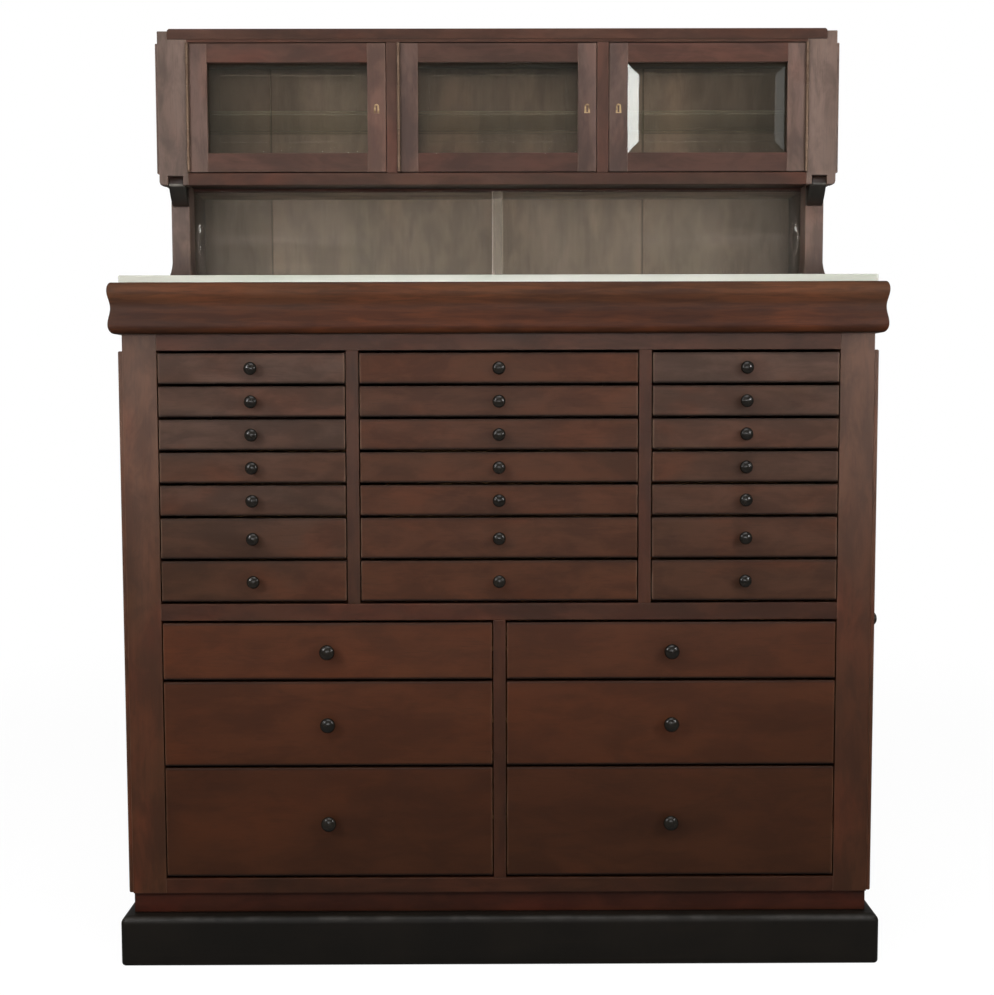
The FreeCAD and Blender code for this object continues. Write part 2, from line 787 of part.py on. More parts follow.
def hinge_leaf(opening, hinge, moving):
    # The moving leaf lies on the door's edge, the fixed one on the jamb.
    x, y = hinge_axis(opening, hinge)
    side = -hinge if moving else hinge
    far = x + side * hinge_gap / 2
    near = far - side * leaf_thick
    x0, x1 = min(near, far), max(near, far)
    pieces = [box(x0, x1, y_hutch, y_hutch + leaf_depth, z_door, z_door_top)]
    spans = knuckle_spans(z_door, z_door_top, moving)
    for low, high in spans:
        pieces.append(box(x0, x1, y + ring_wall, y_hutch, low, high))
        pieces.append(ring(x, y, low, high) if moving else cylinder(barrel_radius, x, y, low, high))
    if not moving:
        pieces.append(cylinder(pin_radius, x, y, spans[0][0], spans[-1][1]))
    return joined(pieces)


def door_fittings(opening, hinge):
    x = lock_place(opening, hinge)
    y1 = y_hutch + door_thick
    case = box(x - lock_width / 2, x + lock_width / 2, y1, y1 + lock_thick,
               z_door_mid - lock_height / 2, z_door_mid + lock_height / 2)
    return [hinge_leaf(opening, hinge, True), escutcheon(x), case]


doors = {"left": (compartments[0], -1), "middle": (compartments[1], -1), "right": (compartments[2], 1)}


def hinge_jamb_leaves():
    leaves = [hinge_leaf(opening, hinge, False) for opening, hinge in doors.values()]
    return leaves + [side_hinge_jamb()]


def main():
    os.makedirs("parts", exist_ok=True)
    export("plinth", plinth())
    export("base_frame", base_frame())
    export("case_sides", case_sides())
    export("case_face_frame", face_frame())
    export("case_partitions", case_partitions())
    export("case_decks", case_decks())
    export("case_back", case_back())
    export("left_side_panel", side_panel())
    export("worktop_moulding", moulding())
    export("worktop_slab", worktop_slab())
    strips = []
    for bank_name, bank in small_banks.items():
        for i, row in enumerate(small_rows):
            pieces = drawer(bank, row, small_side, small_bottom, small_knob_radius, small_knob_length)
            export("drawer_%s_%d" % (bank_name, i + 1), pieces)
            strips += runners(bank, row)
    for bank_name, bank in large_banks.items():
        for i, row in enumerate(large_rows):
            pieces = drawer(bank, row, large_side, large_bottom, large_knob_radius, large_knob_length)
            export("large_drawer_%s_%d" % (bank_name, i + 1), pieces)
            strips += runners(bank, row)
    export("drawer_runners", strips)
    export("side_door", side_door())
    export("side_door_hinge_leaf", [side_hinge_leaf()])
    export("niche_posts", both(niche_post()))
    export("niche_corbels", both(corbel()))
    export("pane_tracks", pane_tracks())
    export("left_pane", [sliding_pane(1, "left")])
    export("right_pane", [sliding_pane(0, "right")])
    export("hutch_back", hutch_back())
    export("hutch_sides", hutch_sides())
    export("hutch_boards", hutch_boards())
    export("hutch_face_frame", hutch_face_frame())
    export("glass_shelves", glass_shelves())
    export("hinge_jamb_leaves", hinge_jamb_leaves())
    for name, (opening, hinge) in doors.items():
        export(name + "_door_frame", door_frame(opening, hinge))
        export(name + "_door_glass", door_glass(opening, hinge))
        export(name + "_door_fittings", door_fittings(opening, hinge))


main()
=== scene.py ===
import bpy
import itertools
import numpy as np
from math import pi, radians
from mathutils import Euler, Matrix, Vector


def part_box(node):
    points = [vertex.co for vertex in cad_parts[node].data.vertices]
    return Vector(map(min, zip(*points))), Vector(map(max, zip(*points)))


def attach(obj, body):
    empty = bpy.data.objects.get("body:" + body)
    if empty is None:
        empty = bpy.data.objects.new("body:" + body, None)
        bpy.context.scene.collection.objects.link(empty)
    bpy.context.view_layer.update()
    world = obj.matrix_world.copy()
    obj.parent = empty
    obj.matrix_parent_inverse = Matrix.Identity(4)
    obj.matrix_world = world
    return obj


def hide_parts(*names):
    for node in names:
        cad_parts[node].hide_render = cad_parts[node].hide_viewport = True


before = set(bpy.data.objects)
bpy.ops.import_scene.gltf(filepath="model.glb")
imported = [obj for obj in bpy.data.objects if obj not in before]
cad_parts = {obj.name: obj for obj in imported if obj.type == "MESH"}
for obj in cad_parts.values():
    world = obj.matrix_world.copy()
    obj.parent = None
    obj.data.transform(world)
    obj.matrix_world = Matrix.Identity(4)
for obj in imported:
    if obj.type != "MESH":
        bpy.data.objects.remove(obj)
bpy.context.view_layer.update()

scene = bpy.context.scene
mm = 0.001  # every piece is worked out in millimetres and goes into its mesh in metres
boardSeeds = itertools.count(1)


class Named(dict):
    # A dictionary whose values can be read by name too, as in base.outer.
    __getattr__ = dict.__getitem__


# Shapes

easing = Named(mostRound=0.42, mostWorn=0.47, tightest=0.25, sharpest=0.3)  # shares of a side, a radius, and a turn
lieShares = Named(down=1.4, up=0.14, across=0.6, plain=0.25)

def bow(t, a, b, c):
    # The curve from a to c that b pulls towards itself: (1-t)^2 a + 2t(1-t) b + t^2 c.
    return (1 - t) ** 2 * a + 2 * t * (1 - t) * b + t ** 2 * c


def easedOutline(corners, radii, wear, steps=2):
    # Each corner becomes a bow between two points on its sides, with one more point on each where the arris band,
    # marked for wear and painted light, ends. Also gives 1 on the bow and 0 beside it.
    toBack, toNext = np.roll(corners, 1, 0) - corners, np.roll(corners, -1, 0) - corners
    longBack, longNext = np.linalg.norm(toBack, axis=1), np.linalg.norm(toNext, axis=1)
    radii = np.minimum(radii, easing.mostRound * np.minimum(longBack, longNext))
    ahead, behind = toNext / longNext[:, None], toBack / longBack[:, None]
    a, b = corners + behind * radii[:, None], corners + ahead * radii[:, None]
    t = np.linspace(0, 1, steps + 1)[None, :, None]
    curve = bow(t, a[:, None], corners[:, None], b[:, None])
    before = corners + behind * np.minimum(radii + wear, easing.mostWorn * longBack)[:, None]
    after = corners + ahead * np.minimum(radii + wear, easing.mostWorn * longNext)[:, None]
    points = np.concatenate([before[:, None], curve, after[:, None]], 1).reshape(-1, 2)
    return points, np.tile(np.r_[0, np.ones(steps + 1), 0], len(corners))


def wayRound(corners, axis):
    # Faces point outwards if corners run anticlockwise about x and z, and clockwise in (x, z) about y. The sign of
    # the area, a sum of cross products of neighbours, gives 1 if they do and -1 if not.
    corners = np.asarray(corners, float)
    nextOne = np.roll(corners, -1, 0)
    area = (corners[:, 0] * nextOne[:, 1] - nextOne[:, 0] * corners[:, 1]).sum()
    return 1 if area * (-1 if axis == 1 else 1) > 0 else -1


def facing(corners, axis):
    return np.asarray(corners, float)[::wayRound(corners, axis)]


def drawnIn(corners, axis, insets):
    # The outline with every side moved in by each inset: a corner goes along the sum of its two side normals,
    # over 1 + their product.
    side = np.roll(corners, -1, 0) - corners
    normal = (-1 if axis == 1 else 1) * np.c_[side[:, 1], -side[:, 0]]
    normal /= np.linalg.norm(normal, axis=1)[:, None]
    before = np.roll(normal, 1, 0)
    push = (normal + before) / np.maximum(1 + (normal * before).sum(1), easing.sharpest)[:, None]
    return corners[None] - np.asarray(insets, float)[:, None, None] * push[None]


def easedRings(corners, axis, insets, radii, wear):
    # The eased outline at each inset. A corner's curve gets tighter as the outline draws in.
    inner = drawnIn(corners, axis, insets)
    tight = [np.maximum(np.asarray(radii) - inset, easing.tightest) for inset in insets]
    rings = [easedOutline(c, r, wear) for c, r in zip(inner, tight)]
    return np.stack([ring for ring, worn in rings]), rings[0][1]


def tubeFaces(rows, around):
    # Quads between closed rings that follow each other, and one face at each end.
    index = np.arange(rows * around).reshape(rows, around)
    nextOne = np.roll(index, -1, 1)
    quads = np.stack([index[:-1], nextOne[:-1], nextOne[1:], index[1:]], -1).reshape(-1, 4)
    return quads.tolist() + [index[0, ::-1].tolist(), index[-1].tolist()]


def sheetQuads(index):
    # Quads between the neighbours of an open grid.
    return np.stack([index[:-1, :-1], index[1:, :-1], index[1:, 1:], index[:-1, 1:]], -1).reshape(-1, 4)


def carried(rings, worn, axis, levels, ringWorn, along):
    # A closed outline carried along an axis: it is rings[k] at levels[k], and both ends are closed.
    levels, ringWorn = np.asarray(levels, float), np.asarray(ringWorn, float)
    shape = len(levels), rings.shape[1]
    points = np.empty((*shape, 3))
    points[..., [i for i in range(3) if i != axis]] = rings
    points[..., axis] = levels[:, None]
    arris = np.maximum(ringWorn[:, None], np.broadcast_to(worn, shape))
    arris[[0, -1]] = ringWorn[[0, -1], None]
    return asPart(points.reshape(-1, 3), tubeFaces(*shape), arris.reshape(-1), along)


def asPart(points, faces, arris, along, tree=7):
    # Grain coordinates are (along, across, depth) in metres, moved to a place of the tree of this board's own.
    chance = np.random.default_rng(next(boardSeeds))
    order = [along] + [i for i in range(3) if i != along]
    grain = points[:, order] * mm + chance.random(3) * tree
    ones = np.ones(len(points))
    tone, hue = chance.random(2)
    return dict(points=points, faces=faces, arris=arris, grain=grain, along=along,
                tone=ones * tone, hue=ones * hue, soil=ones * 0)


def plate(corners, axis, low, high, ease=0.8, along=2, radii=None, wear=2.6, farEase=None):
    # An outline carried from low to high, whose ends draw in on a quarter circle: inset r(1-sin t), rise r(1-cos t).
    # The radius is ease at the low end and farEase at the high one.
    corners = facing(corners, axis)
    thick = high - low
    wear = min(wear, 0.2 * thick, 0.2 * np.ptp(corners, axis=0).min())
    near = min(ease, (0.3 if farEase is None else 0.5) * thick)
    far = near if farEase is None else min(farEase, 0.5 * thick)
    t = np.linspace(0, pi / 2, 4 if max(near, far) < 1.5 else 8)
    inset, rise = 1 - np.sin(t), 1 - np.cos(t)
    insets = np.r_[near + wear, near * inset, 0, 0, far * inset[::-1], far + wear]
    levels = np.r_[low, low + near * rise, low + near + wear, high - far - wear, (high - far * rise)[::-1], high]
    ringWorn = np.r_[0, np.ones(len(t)), 0, 0, np.ones(len(t)), 0]
    rings, worn = easedRings(corners, axis, insets, min(near, far) if radii is None else radii, wear)
    return carried(rings, worn, axis, levels, ringWorn, along)


def board(x0, x1, y0, y1, z0, z1, axis=1, along=2, ease=0.8, farEase=None, wear=2.6):
    # A rectangular board, eased on all its edges.
    low, high = np.array([x0, y0, z0], float), np.array([x1, y1, z1], float)
    a, b = [i for i in range(3) if i != axis]
    corners = [(low[a], low[b]), (high[a], low[b]), (high[a], high[b]), (low[a], high[b])]
    return plate(corners, axis, low[axis], high[axis], ease, along, wear=wear, farEase=farEase)


def turned(radius, levels, shares, centre, axis, sides=36):
    # A turned form: a circle carried along its axis, with radius times shares[k] at levels[k].
    t = np.linspace(0, 2 * pi, sides, endpoint=False)
    circle = facing(np.c_[np.cos(t), np.sin(t)], axis)
    rings = np.asarray(centre) + radius * np.asarray(shares, float)[:, None, None] * circle[None]
    return carried(rings, np.zeros(sides), axis, levels, np.zeros(len(levels)), axis)


def mirrored(part):
    # The same part on the other side of x = 0, cut from another board.
    points = part["points"] * (-1, 1, 1)
    made = asPart(points, [face[::-1] for face in part["faces"]], part["arris"], part["along"])
    return dict(made, soil=part["soil"])


def both(part):
    return [part, mirrored(part)]


def shaded(parts, values, key="tone"):
    # Each part's own tone or redness, in place of chance.
    for part, value in zip(parts, values):
        part[key][:] = value
    return parts


def nodeBox(node):
    return [np.array(corner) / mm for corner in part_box(node)]


def added(name, data):
    made = bpy.data.objects.new(name, data)
    scene.collection.objects.link(made)
    return made


def makePiece(name, parts, look, stands=None, body="cabinet", smooth=True):
    # Joins the parts into one mesh with its attributes: grain, arris, tone, hue, a mark of painted shade and soil,
    # and lie, which is high where the surface looks sideways, for rubbed wear and a painted highlight, and -1 where
    # it looks down, for painted shade.
    points = np.vstack([p["points"] for p in parts]) * mm
    starts = np.cumsum([0] + [len(p["points"]) for p in parts])
    faces = [[i + start for i in face] for start, p in zip(starts, parts) for face in p["faces"]]
    mesh = bpy.data.meshes.new(name)
    mesh.from_pydata(points, [], faces)
    values = {key: np.concatenate([p[key] for p in parts]) for key in ("grain", "arris", "tone", "hue", "soil")}
    grain = values.pop("grain").astype(np.float32)
    mesh.attributes.new("grain", "FLOAT_VECTOR", "POINT").data.foreach_set("vector", grain.ravel())
    normals = np.empty(3 * len(points), np.float32)
    mesh.vertex_normals.foreach_get("vector", normals)
    across, _, up = normals.reshape(-1, 3).T
    lie = lieShares.down * np.minimum(up, 0) + lieShares.up * np.maximum(up, 0)
    values["lie"] = np.clip(lie + lieShares.across * np.abs(across) + lieShares.plain, -1, 1)
    for key, value in values.items():
        mesh.attributes.new(key, "FLOAT", "POINT").data.foreach_set("value", value.astype(np.float32))
    mesh.polygons.foreach_set("use_smooth", np.full(len(mesh.polygons), smooth))
    mesh.materials.append(look)
    piece = added(name, mesh)
    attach(piece, body)
    if stands:
        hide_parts(stands)


def dress(node, look):
    # A CAD node that stays gets its finish in its own slots.
    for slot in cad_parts[node].material_slots:
        slot.material = look


# Finishes

class Wire:
    # One socket of a node tree. Arithmetic on it adds Math nodes; node() adds any other.
    def __init__(self, tree, socket=None):
        self.tree, self.socket = tree, socket

    def node(self, kind, inputs=None, settings=None, out=0):
        made = self.tree.nodes.new("ShaderNode" + kind)
        for key, value in (settings or {}).items():
            setattr(made, key, value)
        for key, value in (inputs or {}).items():
            if isinstance(value, Wire):
                self.tree.links.new(value.socket, made.inputs[key])
            else:
                made.inputs[key].default_value = value
        return Wire(self.tree, made.outputs[out] if out is not None else None)

    def maths(self, operation, a, b):
        return self.node("Math", {0: a, 1: b}, {"operation": operation})

    def __add__(self, other):
        return self.maths("ADD", self, other)

    def __radd__(self, other):
        return self.maths("ADD", other, self)

    def __sub__(self, other):
        return self.maths("SUBTRACT", self, other)

    def __rsub__(self, other):
        return self.maths("SUBTRACT", other, self)

    def __mul__(self, other):
        return self.maths("MULTIPLY", self, other)

    def __rmul__(self, other):
        return self.maths("MULTIPLY", other, self)

    def ramp(self, low, high, start=0.0, end=1.0):
        # Smooth step from start at low to end at high.
        values = {"Value": self, "From Min": low, "From Max": high, "To Min": start, "To Max": end}
        return self.node("MapRange", values, {"interpolation_type": "SMOOTHSTEP"})

    def mix(self, first, second):
        # This value as the share of the second colour.
        return self.node("Mix", {0: self, 6: colour(first), 7: colour(second)}, {"data_type": "RGBA"}, 2)

    def attribute(self, name, out="Fac"):
        return self.node("Attribute", {}, {"attribute_name": name}, out)

    def scaled(self, *factors):
        return self.node("VectorMath", {0: self, 1: factors}, {"operation": "MULTIPLY"})

    def brighter(self, factor):
        return self.node("VectorMath", {0: self, "Scale": factor}, {"operation": "SCALE"})

    def noise(self, scale, octaves, rough, twist=0.0):
        values = {"Vector": self, "Scale": scale, "Detail": octaves, "Roughness": rough, "Distortion": twist}
        return self.node("TexNoise", values, {"noise_dimensions": "3D"})

    def part(self, axis):
        return self.node("SeparateXYZ", {0: self}, out=axis)

    def bump(self, strength, reach, height):
        return self.node("Bump", {"Strength": strength, "Distance": reach, "Height": height})

    def done(self, shader, kind="OutputMaterial"):
        self.node(kind, {"Surface": shader}, out=None)


def colour(value):
    # Colours are written as they look on screen, 0 to 255, and go to the nodes as linear light.
    if isinstance(value, Wire):
        return value
    v = np.asarray(value, float) / 255
    linear = np.where(v <= 0.04045, v / 12.92, ((v + 0.055) / 1.055) ** 2.4)
    return (*linear, 1.0)


def newLook(name):
    # A material with an empty tree, its wire, and Object coordinates to start from.
    look = bpy.data.materials.new(name)
    look.use_nodes = True
    look.node_tree.nodes.clear()
    w = Wire(look.node_tree)
    return look, w, w.node("TexCoord", out="Object")


toneNames = ("dark", "mid", "light", "redTone", "oliveTone", "pore", "worn", "hazeTone")
usualPolish = dict(
    cloudScale=4.5, drawn=0.3, streaky=0.45, red=0.6, olive=0.5, between=0.25, redder=0.0, clearer=0.0, haze=0.0,
    hazeLow=0.25, hazeHigh=1.2, foot=0.0, footHigh=0.0, mottle=0.21, ends=0.0, wear=0.3, dirt=0.6, rough=0.36,
    gloss=0.15)
stretch = 24  # how far the grain is drawn out along a board

def woodTone(name, *colours, **polish):
    # Colours in the order of toneNames, the last one for a painted sheen, and where the polish differs from the usual.
    return Named(usualPolish, name=name, **dict(zip(toneNames, colours)), **polish)


def woodLook(tones, name=None, along=None):
    # Grain drawn out along the board: wide figure, fine streaks and short pores under a polish with red and olive
    # clouds. Boards differ in tone and redness. A painted sheen, lighter and greyer high up, stands in for lamps
    # mirrored in the polish. Upright arrises are lighter, partly rubbed wear and partly a painted highlight; lower
    # ones, gaps, hollows, the ends of the niche and the lower large drawers get painted shade.
    look, w, place = newLook(name or tones.name)
    made = along is None  # a CAD node that stays has no attributes, so its grain runs along one axis
    grain = w.attribute("grain", "Vector") if made else place
    cross = [1 if axis == (along or 0) else stretch for axis in range(3)]

    def drawn(size, power, *noise):
        # Noise of a scale, octaves, roughness and twist, at size times the stretch to this power across the grain.
        return grain.scaled(*(size * c ** power for c in cross)).noise(*noise)

    figure = drawn(0.9, 0.62, 1.6, 3, 0.55, 0.7)
    streak = drawn(1, 1, 4.5, 4, 0.62, 0.25)
    pores = drawn(1, 1.25, 30.0, 1, 0.5).ramp(0.6, 0.74)
    cloud = drawn(1, 0.22, tones.cloudScale, 3, 0.55, 0.4)
    bloom = drawn(0.7, 0.45, 3.0, 3, 0.6, 0.5)
    mottle = drawn(1, tones.drawn, 11.0, 4, 0.62, 0.4)
    height = place.part(2)

    share = tones.streaky
    base = (streak.ramp(0.25, 0.78) * share + (0.75 - 0.6 * share)).mix(tones.dark, tones.mid)
    base = (figure.ramp(0.4, 0.75) * 0.45).mix(base, tones.light)
    base = (cloud.ramp(0.5, 0.74) * tones.red).mix(base, tones.redTone)
    base = (cloud.ramp(0.5, 0.26) * tones.olive).mix(base, tones.oliveTone)
    if made:
        base = (w.attribute("tone") * tones.between).mix(base, tones.dark)
        base = (w.attribute("hue") * tones.redder).mix(base, tones.redTone)
    # Painted shade: the large drawers go towards their olive tone near the bottom, where less light falls.
    if tones.foot:
        base = (height.ramp(tones.footHigh, 0.1) * tones.foot).mix(base, tones.oliveTone)
    # Painted sheen: lighter and greyer towards the top, less on redder boards, standing in for lamps mirrored in the
    # polish.
    if tones.haze:
        haze = height.ramp(tones.hazeLow, tones.hazeHigh) * (bloom.ramp(0.3, 0.72) * 0.7 + 0.3) * tones.haze
        base = (haze * (1 - w.attribute("hue") * tones.clearer)).mix(base, tones.hazeTone)
    depth = tones.mottle
    base = (cloud.ramp(0.5, 0.68) * depth).mix(base, tones.redTone)
    base = (cloud.ramp(0.5, 0.32) * depth).mix(base, tones.oliveTone)
    base = base.brighter(mottle.ramp(0.36, 0.64, 1 - depth, 1 + depth))
    # Painted shade in the niche's end corners: the boards darken where x passes about 0.4 m either way.
    if tones.ends:
        side = place.part(0)
        base = ((side * side).ramp(0.16, 0.32) * tones.ends).mix(base, tones.pore)
    base = (pores * 0.3).mix(base, tones.pore)
    if made:
        arris, lie = w.attribute("arris"), w.attribute("lie")
        rubbed = place.noise(20.0, 3, 0.6).ramp(0.34, 0.6) * 0.75 + 0.25
        # Upright arrises lighter: partly rubbed wear, partly a painted highlight where round edges catch the light.
        base = (arris * lie.ramp(0.25, 0.5) * rubbed * tones.wear).mix(base, tones.worn)
        # Painted shade: arrises that look down darken towards the pore colour.
        base = (arris * lie.ramp(0.2, -0.25) * tones.dirt).mix(base, tones.pore)
        # Painted shade in gaps, hollows and under rails, and dark joints between the back boards, from the soil mark.
        base = w.attribute("soil").mix(base, tones.pore)
    w.done(w.node("BsdfPrincipled", {
        "Base Color": base, "Roughness": tones.rough + 0.12 * streak + 0.14 * cloud,
        "Normal": w.bump(0.1, 0.0006, streak * 0.4 - pores * 0.6 + bloom * 0.4), "Specular IOR Level": tones.gloss}))
    return look


def blackLook(name, dark, mid, brown, thin, worn, wear=0.0, rough=0.36, gloss=0.3):
    # Ebonised wood: near black, brown where the polish is thin, with faint grain. Where the arris mark is set it goes
    # grey: a painted highlight on the corbels' noses, and partly rubbed wear, partly a painted highlight on the
    # plinth's top round.
    look, w, place = newLook(name)
    streak = w.attribute("grain", "Vector").scaled(1, stretch, stretch).noise(5.0, 3, 0.6)
    patch = place.noise(7.0, 4, 0.6)
    base = patch.ramp(0.35, 0.7).mix(dark, mid)
    base = (streak.ramp(0.5, 0.8) * 0.5).mix(base, brown)
    base = w.attribute("soil").mix(base, thin)
    rubbed = place.noise(18.0, 3, 0.6).ramp(0.4, 0.65)
    base = (w.attribute("arris") * rubbed * wear).mix(base, worn)
    w.done(w.node("BsdfPrincipled", {
        "Base Color": base, "Roughness": rough + 0.14 * streak,
        "Normal": w.bump(0.1, 0.0005, streak + patch * 0.5), "Specular IOR Level": gloss}))
    return look


def opalLook(name, green, white, dusty):
    # Milk-white glass: faint clouds, a little dust and fine scratches in the polish.
    look, w, place = newLook(name)
    cloud = place.noise(6.0, 4, 0.6)
    dust = place.noise(160.0, 3, 0.7).ramp(0.62, 0.8)
    scratch = place.scaled(14, 240, 240).noise(1.0, 2, 0.6, 1.2).ramp(0.66, 0.72)
    base = cloud.ramp(0.3, 0.7).mix(green, white)
    base = (dust * 0.25).mix(base, dusty)
    w.done(w.node("BsdfPrincipled", {
        "Base Color": base, "Roughness": 0.12 + 0.1 * cloud + 0.2 * scratch, "Specular IOR Level": 0.4}))
    return look


def clearLook(name, tint, dust, sheen, smear, film, edge, mirror=(236, 240, 236), ior=1.5):
    # Clear glass: what is behind shows through a slight tint and a film of dust. The film is thicker where the arris
    # mark is set: on ground edges, as a painted highlight on bevel lines, shelf edges and grip rims, and as a painted
    # reflection where the panes overlap. The surface mirrors more at a slant.
    look, w, place = newLook(name)
    blur = place.noise(9.0, 4, 0.65)
    through = w.node("BsdfTransparent", {"Color": colour(tint)})
    dusty = w.node("BsdfPrincipled", {"Base Color": colour(dust), "Roughness": 0.9, "Specular IOR Level": 0.0})
    bright = w.node("BsdfPrincipled", {
        "Base Color": colour(mirror), "Metallic": 1.0, "Roughness": 0.01 + 0.03 * blur})
    share = blur.ramp(0.35, 0.8) * smear + film + w.attribute("arris") * edge
    body = w.node("MixShader", {0: share, 1: through, 2: dusty})
    w.done(w.node("MixShader", {0: w.node("Fresnel", {"IOR": ior}) * sheen, 1: body, 2: bright}))
    return look


def brassLook(name, bright, dull, hinge=None, hingeX=0):
    # Old brass: pale where it is rubbed, brown in the rest, and in the hinge's tone close to its line at x = hingeX.
    look, w, place = newLook(name)
    tarnish = place.noise(60.0, 4, 0.65)
    base = tarnish.ramp(0.35, 0.65).mix(bright, dull)
    if hinge:
        away = place.part(0) - hingeX * mm
        base = (away * away).ramp(0.0001, 0.0003).mix(hinge, base)
    w.done(w.node("BsdfPrincipled", {
        "Base Color": base, "Metallic": 0.85 - 0.25 * tarnish, "Roughness": 0.32 + 0.3 * tarnish,
        "Normal": w.bump(0.08, 0.0002, place.noise(400.0, 2, 0.5))}))
    return look


woodTones = dict(
    frame=woodTone("mahogany_stiles", (57, 30, 15), (72, 40, 21), (85, 48, 28), (87, 41, 21), (57, 34, 17),
        (30, 19, 13), (124, 96, 78), (110, 84, 70), haze=0.58, hazeLow=0.4, between=0.4, gloss=0.25),
    rail=woodTone("mahogany_rails", (48, 25, 14), (62, 33, 19), (72, 40, 24), (74, 35, 19), (50, 30, 16),
        (24, 15, 11), (108, 82, 65), (82, 57, 46), haze=0.45, hazeLow=0.3, hazeHigh=1.1, gloss=0.2),
    drawer=woodTone("mahogany_small_drawers", (53, 33, 21), (66, 41, 27), (75, 47, 31), (81, 43, 25), (53, 35, 22),
        (30, 20, 15), (132, 106, 88), (80, 66, 59), haze=0.8, hazeLow=0.5, hazeHigh=1.0, wear=0.6, between=0.5,
        redder=0.45, clearer=1.0, dirt=0.75, cloudScale=5.5, red=0.65, olive=0.65, mottle=0.19, gloss=0.13),
    large=woodTone("mahogany_large_drawers", (56, 28, 14), (72, 37, 18), (83, 48, 25), (86, 42, 18), (53, 29, 14),
        (26, 15, 10), (124, 90, 68), (81, 51, 35), haze=0.3, hazeLow=0.3, hazeHigh=0.6, wear=0.55, between=0.45,
        redder=0.3, footHigh=0.55, foot=0.6, dirt=0.75, cloudScale=3.0, red=0.65, olive=0.65, mottle=0.14,
        gloss=0.18),
    moulding=woodTone("mahogany_moulding", (49, 22, 8), (63, 31, 13), (82, 42, 20), (85, 42, 18), (49, 26, 12),
        (30, 17, 10), (128, 90, 62), (110, 70, 40), haze=0.4, hazeLow=1.05, hazeHigh=1.11, wear=0.2, streaky=1.0,
        drawn=0.75, mottle=0.24, gloss=0.16),
    hutch=woodTone("mahogany_hutch", (73, 54, 44), (91, 68, 57), (104, 85, 75), (95, 64, 51), (75, 60, 51),
        (34, 24, 19), (138, 116, 102), (128, 110, 101), haze=0.5, hazeLow=1.1, hazeHigh=1.3, between=0.45,
        mottle=0.24, gloss=0.25),
    door=woodTone("mahogany_door_stiles", (66, 48, 41), (97, 73, 63), (110, 89, 79), (103, 69, 56), (78, 62, 53),
        (36, 25, 20), (138, 112, 98), (122, 102, 94), haze=0.3, hazeLow=1.2, hazeHigh=1.5, wear=0.35, redder=0.45,
        between=0.9, clearer=0.9, mottle=0.24, gloss=0.22),
    doorRail=woodTone("mahogany_door_rails", (59, 35, 26), (74, 45, 34), (84, 55, 43), (90, 48, 35), (57, 38, 28),
        (34, 22, 17), (130, 102, 88), (87, 63, 52), haze=0.3, hazeLow=1.2, hazeHigh=1.5, wear=0.35, between=0.7,
        gloss=0.22),
    neck=woodTone("mahogany_neck", (48, 21, 12), (61, 29, 17), (70, 33, 20), (70, 28, 16), (46, 24, 14),
        (20, 12, 9), (80, 54, 40), wear=0.2, gloss=0.18),
    niche=woodTone("hazy_back_boards", (130, 112, 103), (149, 128, 119), (160, 139, 130), (157, 130, 117),
        (132, 117, 108), (76, 65, 54), (150, 132, 116), wear=0.0, dirt=0.4, red=0.8, olive=0.8, between=0.5,
        cloudScale=3.0, ends=0.5, mottle=0.12),
    # The niche walls are a darker copy of the back boards: painted shade in the niche's sides.
    wall=woodTone("shaded_niche_walls", (74, 64, 55), (86, 75, 65), (94, 82, 71), (88, 72, 60), (74, 66, 56), (44, 36, 30),
        (110, 94, 82), wear=0.2),
    # Painted reflection: the soffit, an underside in shade, is as pale as the back boards it mirrors at a slant.
    soffit=woodTone("soffit_painted_reflection", (142, 124, 114), (160, 138, 128), (170, 148, 138), (164, 136, 122),
        (140, 124, 114), (90, 78, 66), (150, 132, 116), wear=0.0, dirt=0.2),
    inner=woodTone("drawer_lining", (140, 104, 72), (168, 130, 92), (186, 148, 108), (176, 130, 88), (150, 116, 80),
        (104, 74, 50), (196, 160, 122), mottle=0.1, red=0.35, olive=0.35, wear=0.35, dirt=0.3, rough=0.56))
wood = {key: woodLook(tones) for key, tones in woodTones.items()}
innerBoards = woodLook(woodTones["inner"], "inner_boards", 1)
darkBoards = woodLook(woodTones["neck"], "dark_boards", 2)
trackWood = woodLook(woodTones["neck"], "track_strips", 0)
plinthBlack = blackLook("ebonised_plinth", (20, 17, 13), (26, 22, 17), (32, 25, 19), (52, 38, 30), (64, 61, 57),
                        wear=0.5, gloss=0.2)
knobBlack = blackLook("ebonised_knobs", (23, 20, 16), (31, 27, 21), (39, 32, 25), (60, 46, 36), (80, 70, 58),
                      rough=0.17)
corbelBlack = blackLook("ebonised_corbels", (24, 21, 18), (32, 28, 24), (42, 35, 29), (38, 26, 21), (112, 106, 98),
                        wear=0.9)
opal = opalLook("opal_glass", green=(178, 181, 168), white=(190, 189, 178), dusty=(170, 166, 152))
doorGlass = clearLook("door_glass", (247, 246, 240), (164, 150, 132), sheen=0.9, smear=0.02, film=0.02, edge=0.22)
paneGlass = clearLook("pane_glass", (247, 248, 243), (200, 182, 172), sheen=0.8, smear=0.03, film=0.04, edge=0.8)
shelfGlass = clearLook("shelf_glass", (252, 253, 250), (176, 176, 160), sheen=0.25, smear=0.01, film=0.01, edge=0.35)
doorBrass = dict(bright=(176, 150, 112), dull=(96, 74, 52), hinge=(104, 84, 68))
hingeBrass = brassLook("hinge_brass", bright=(112, 92, 76), dull=(92, 72, 58))
print("finishes:", len(bpy.data.materials))


# Base cabinet

base = Named(outer=602, bank=547.5, face=-211, frameBack=-189, inside=221, back=229, case=116, slab=1110)
mitre = Named(hair=0.06, near=0.04, turnRows=7, leastTurn=0.2, frontRows=9, frontEnd=0.999, sideRows=7, sideEnd=0.003)

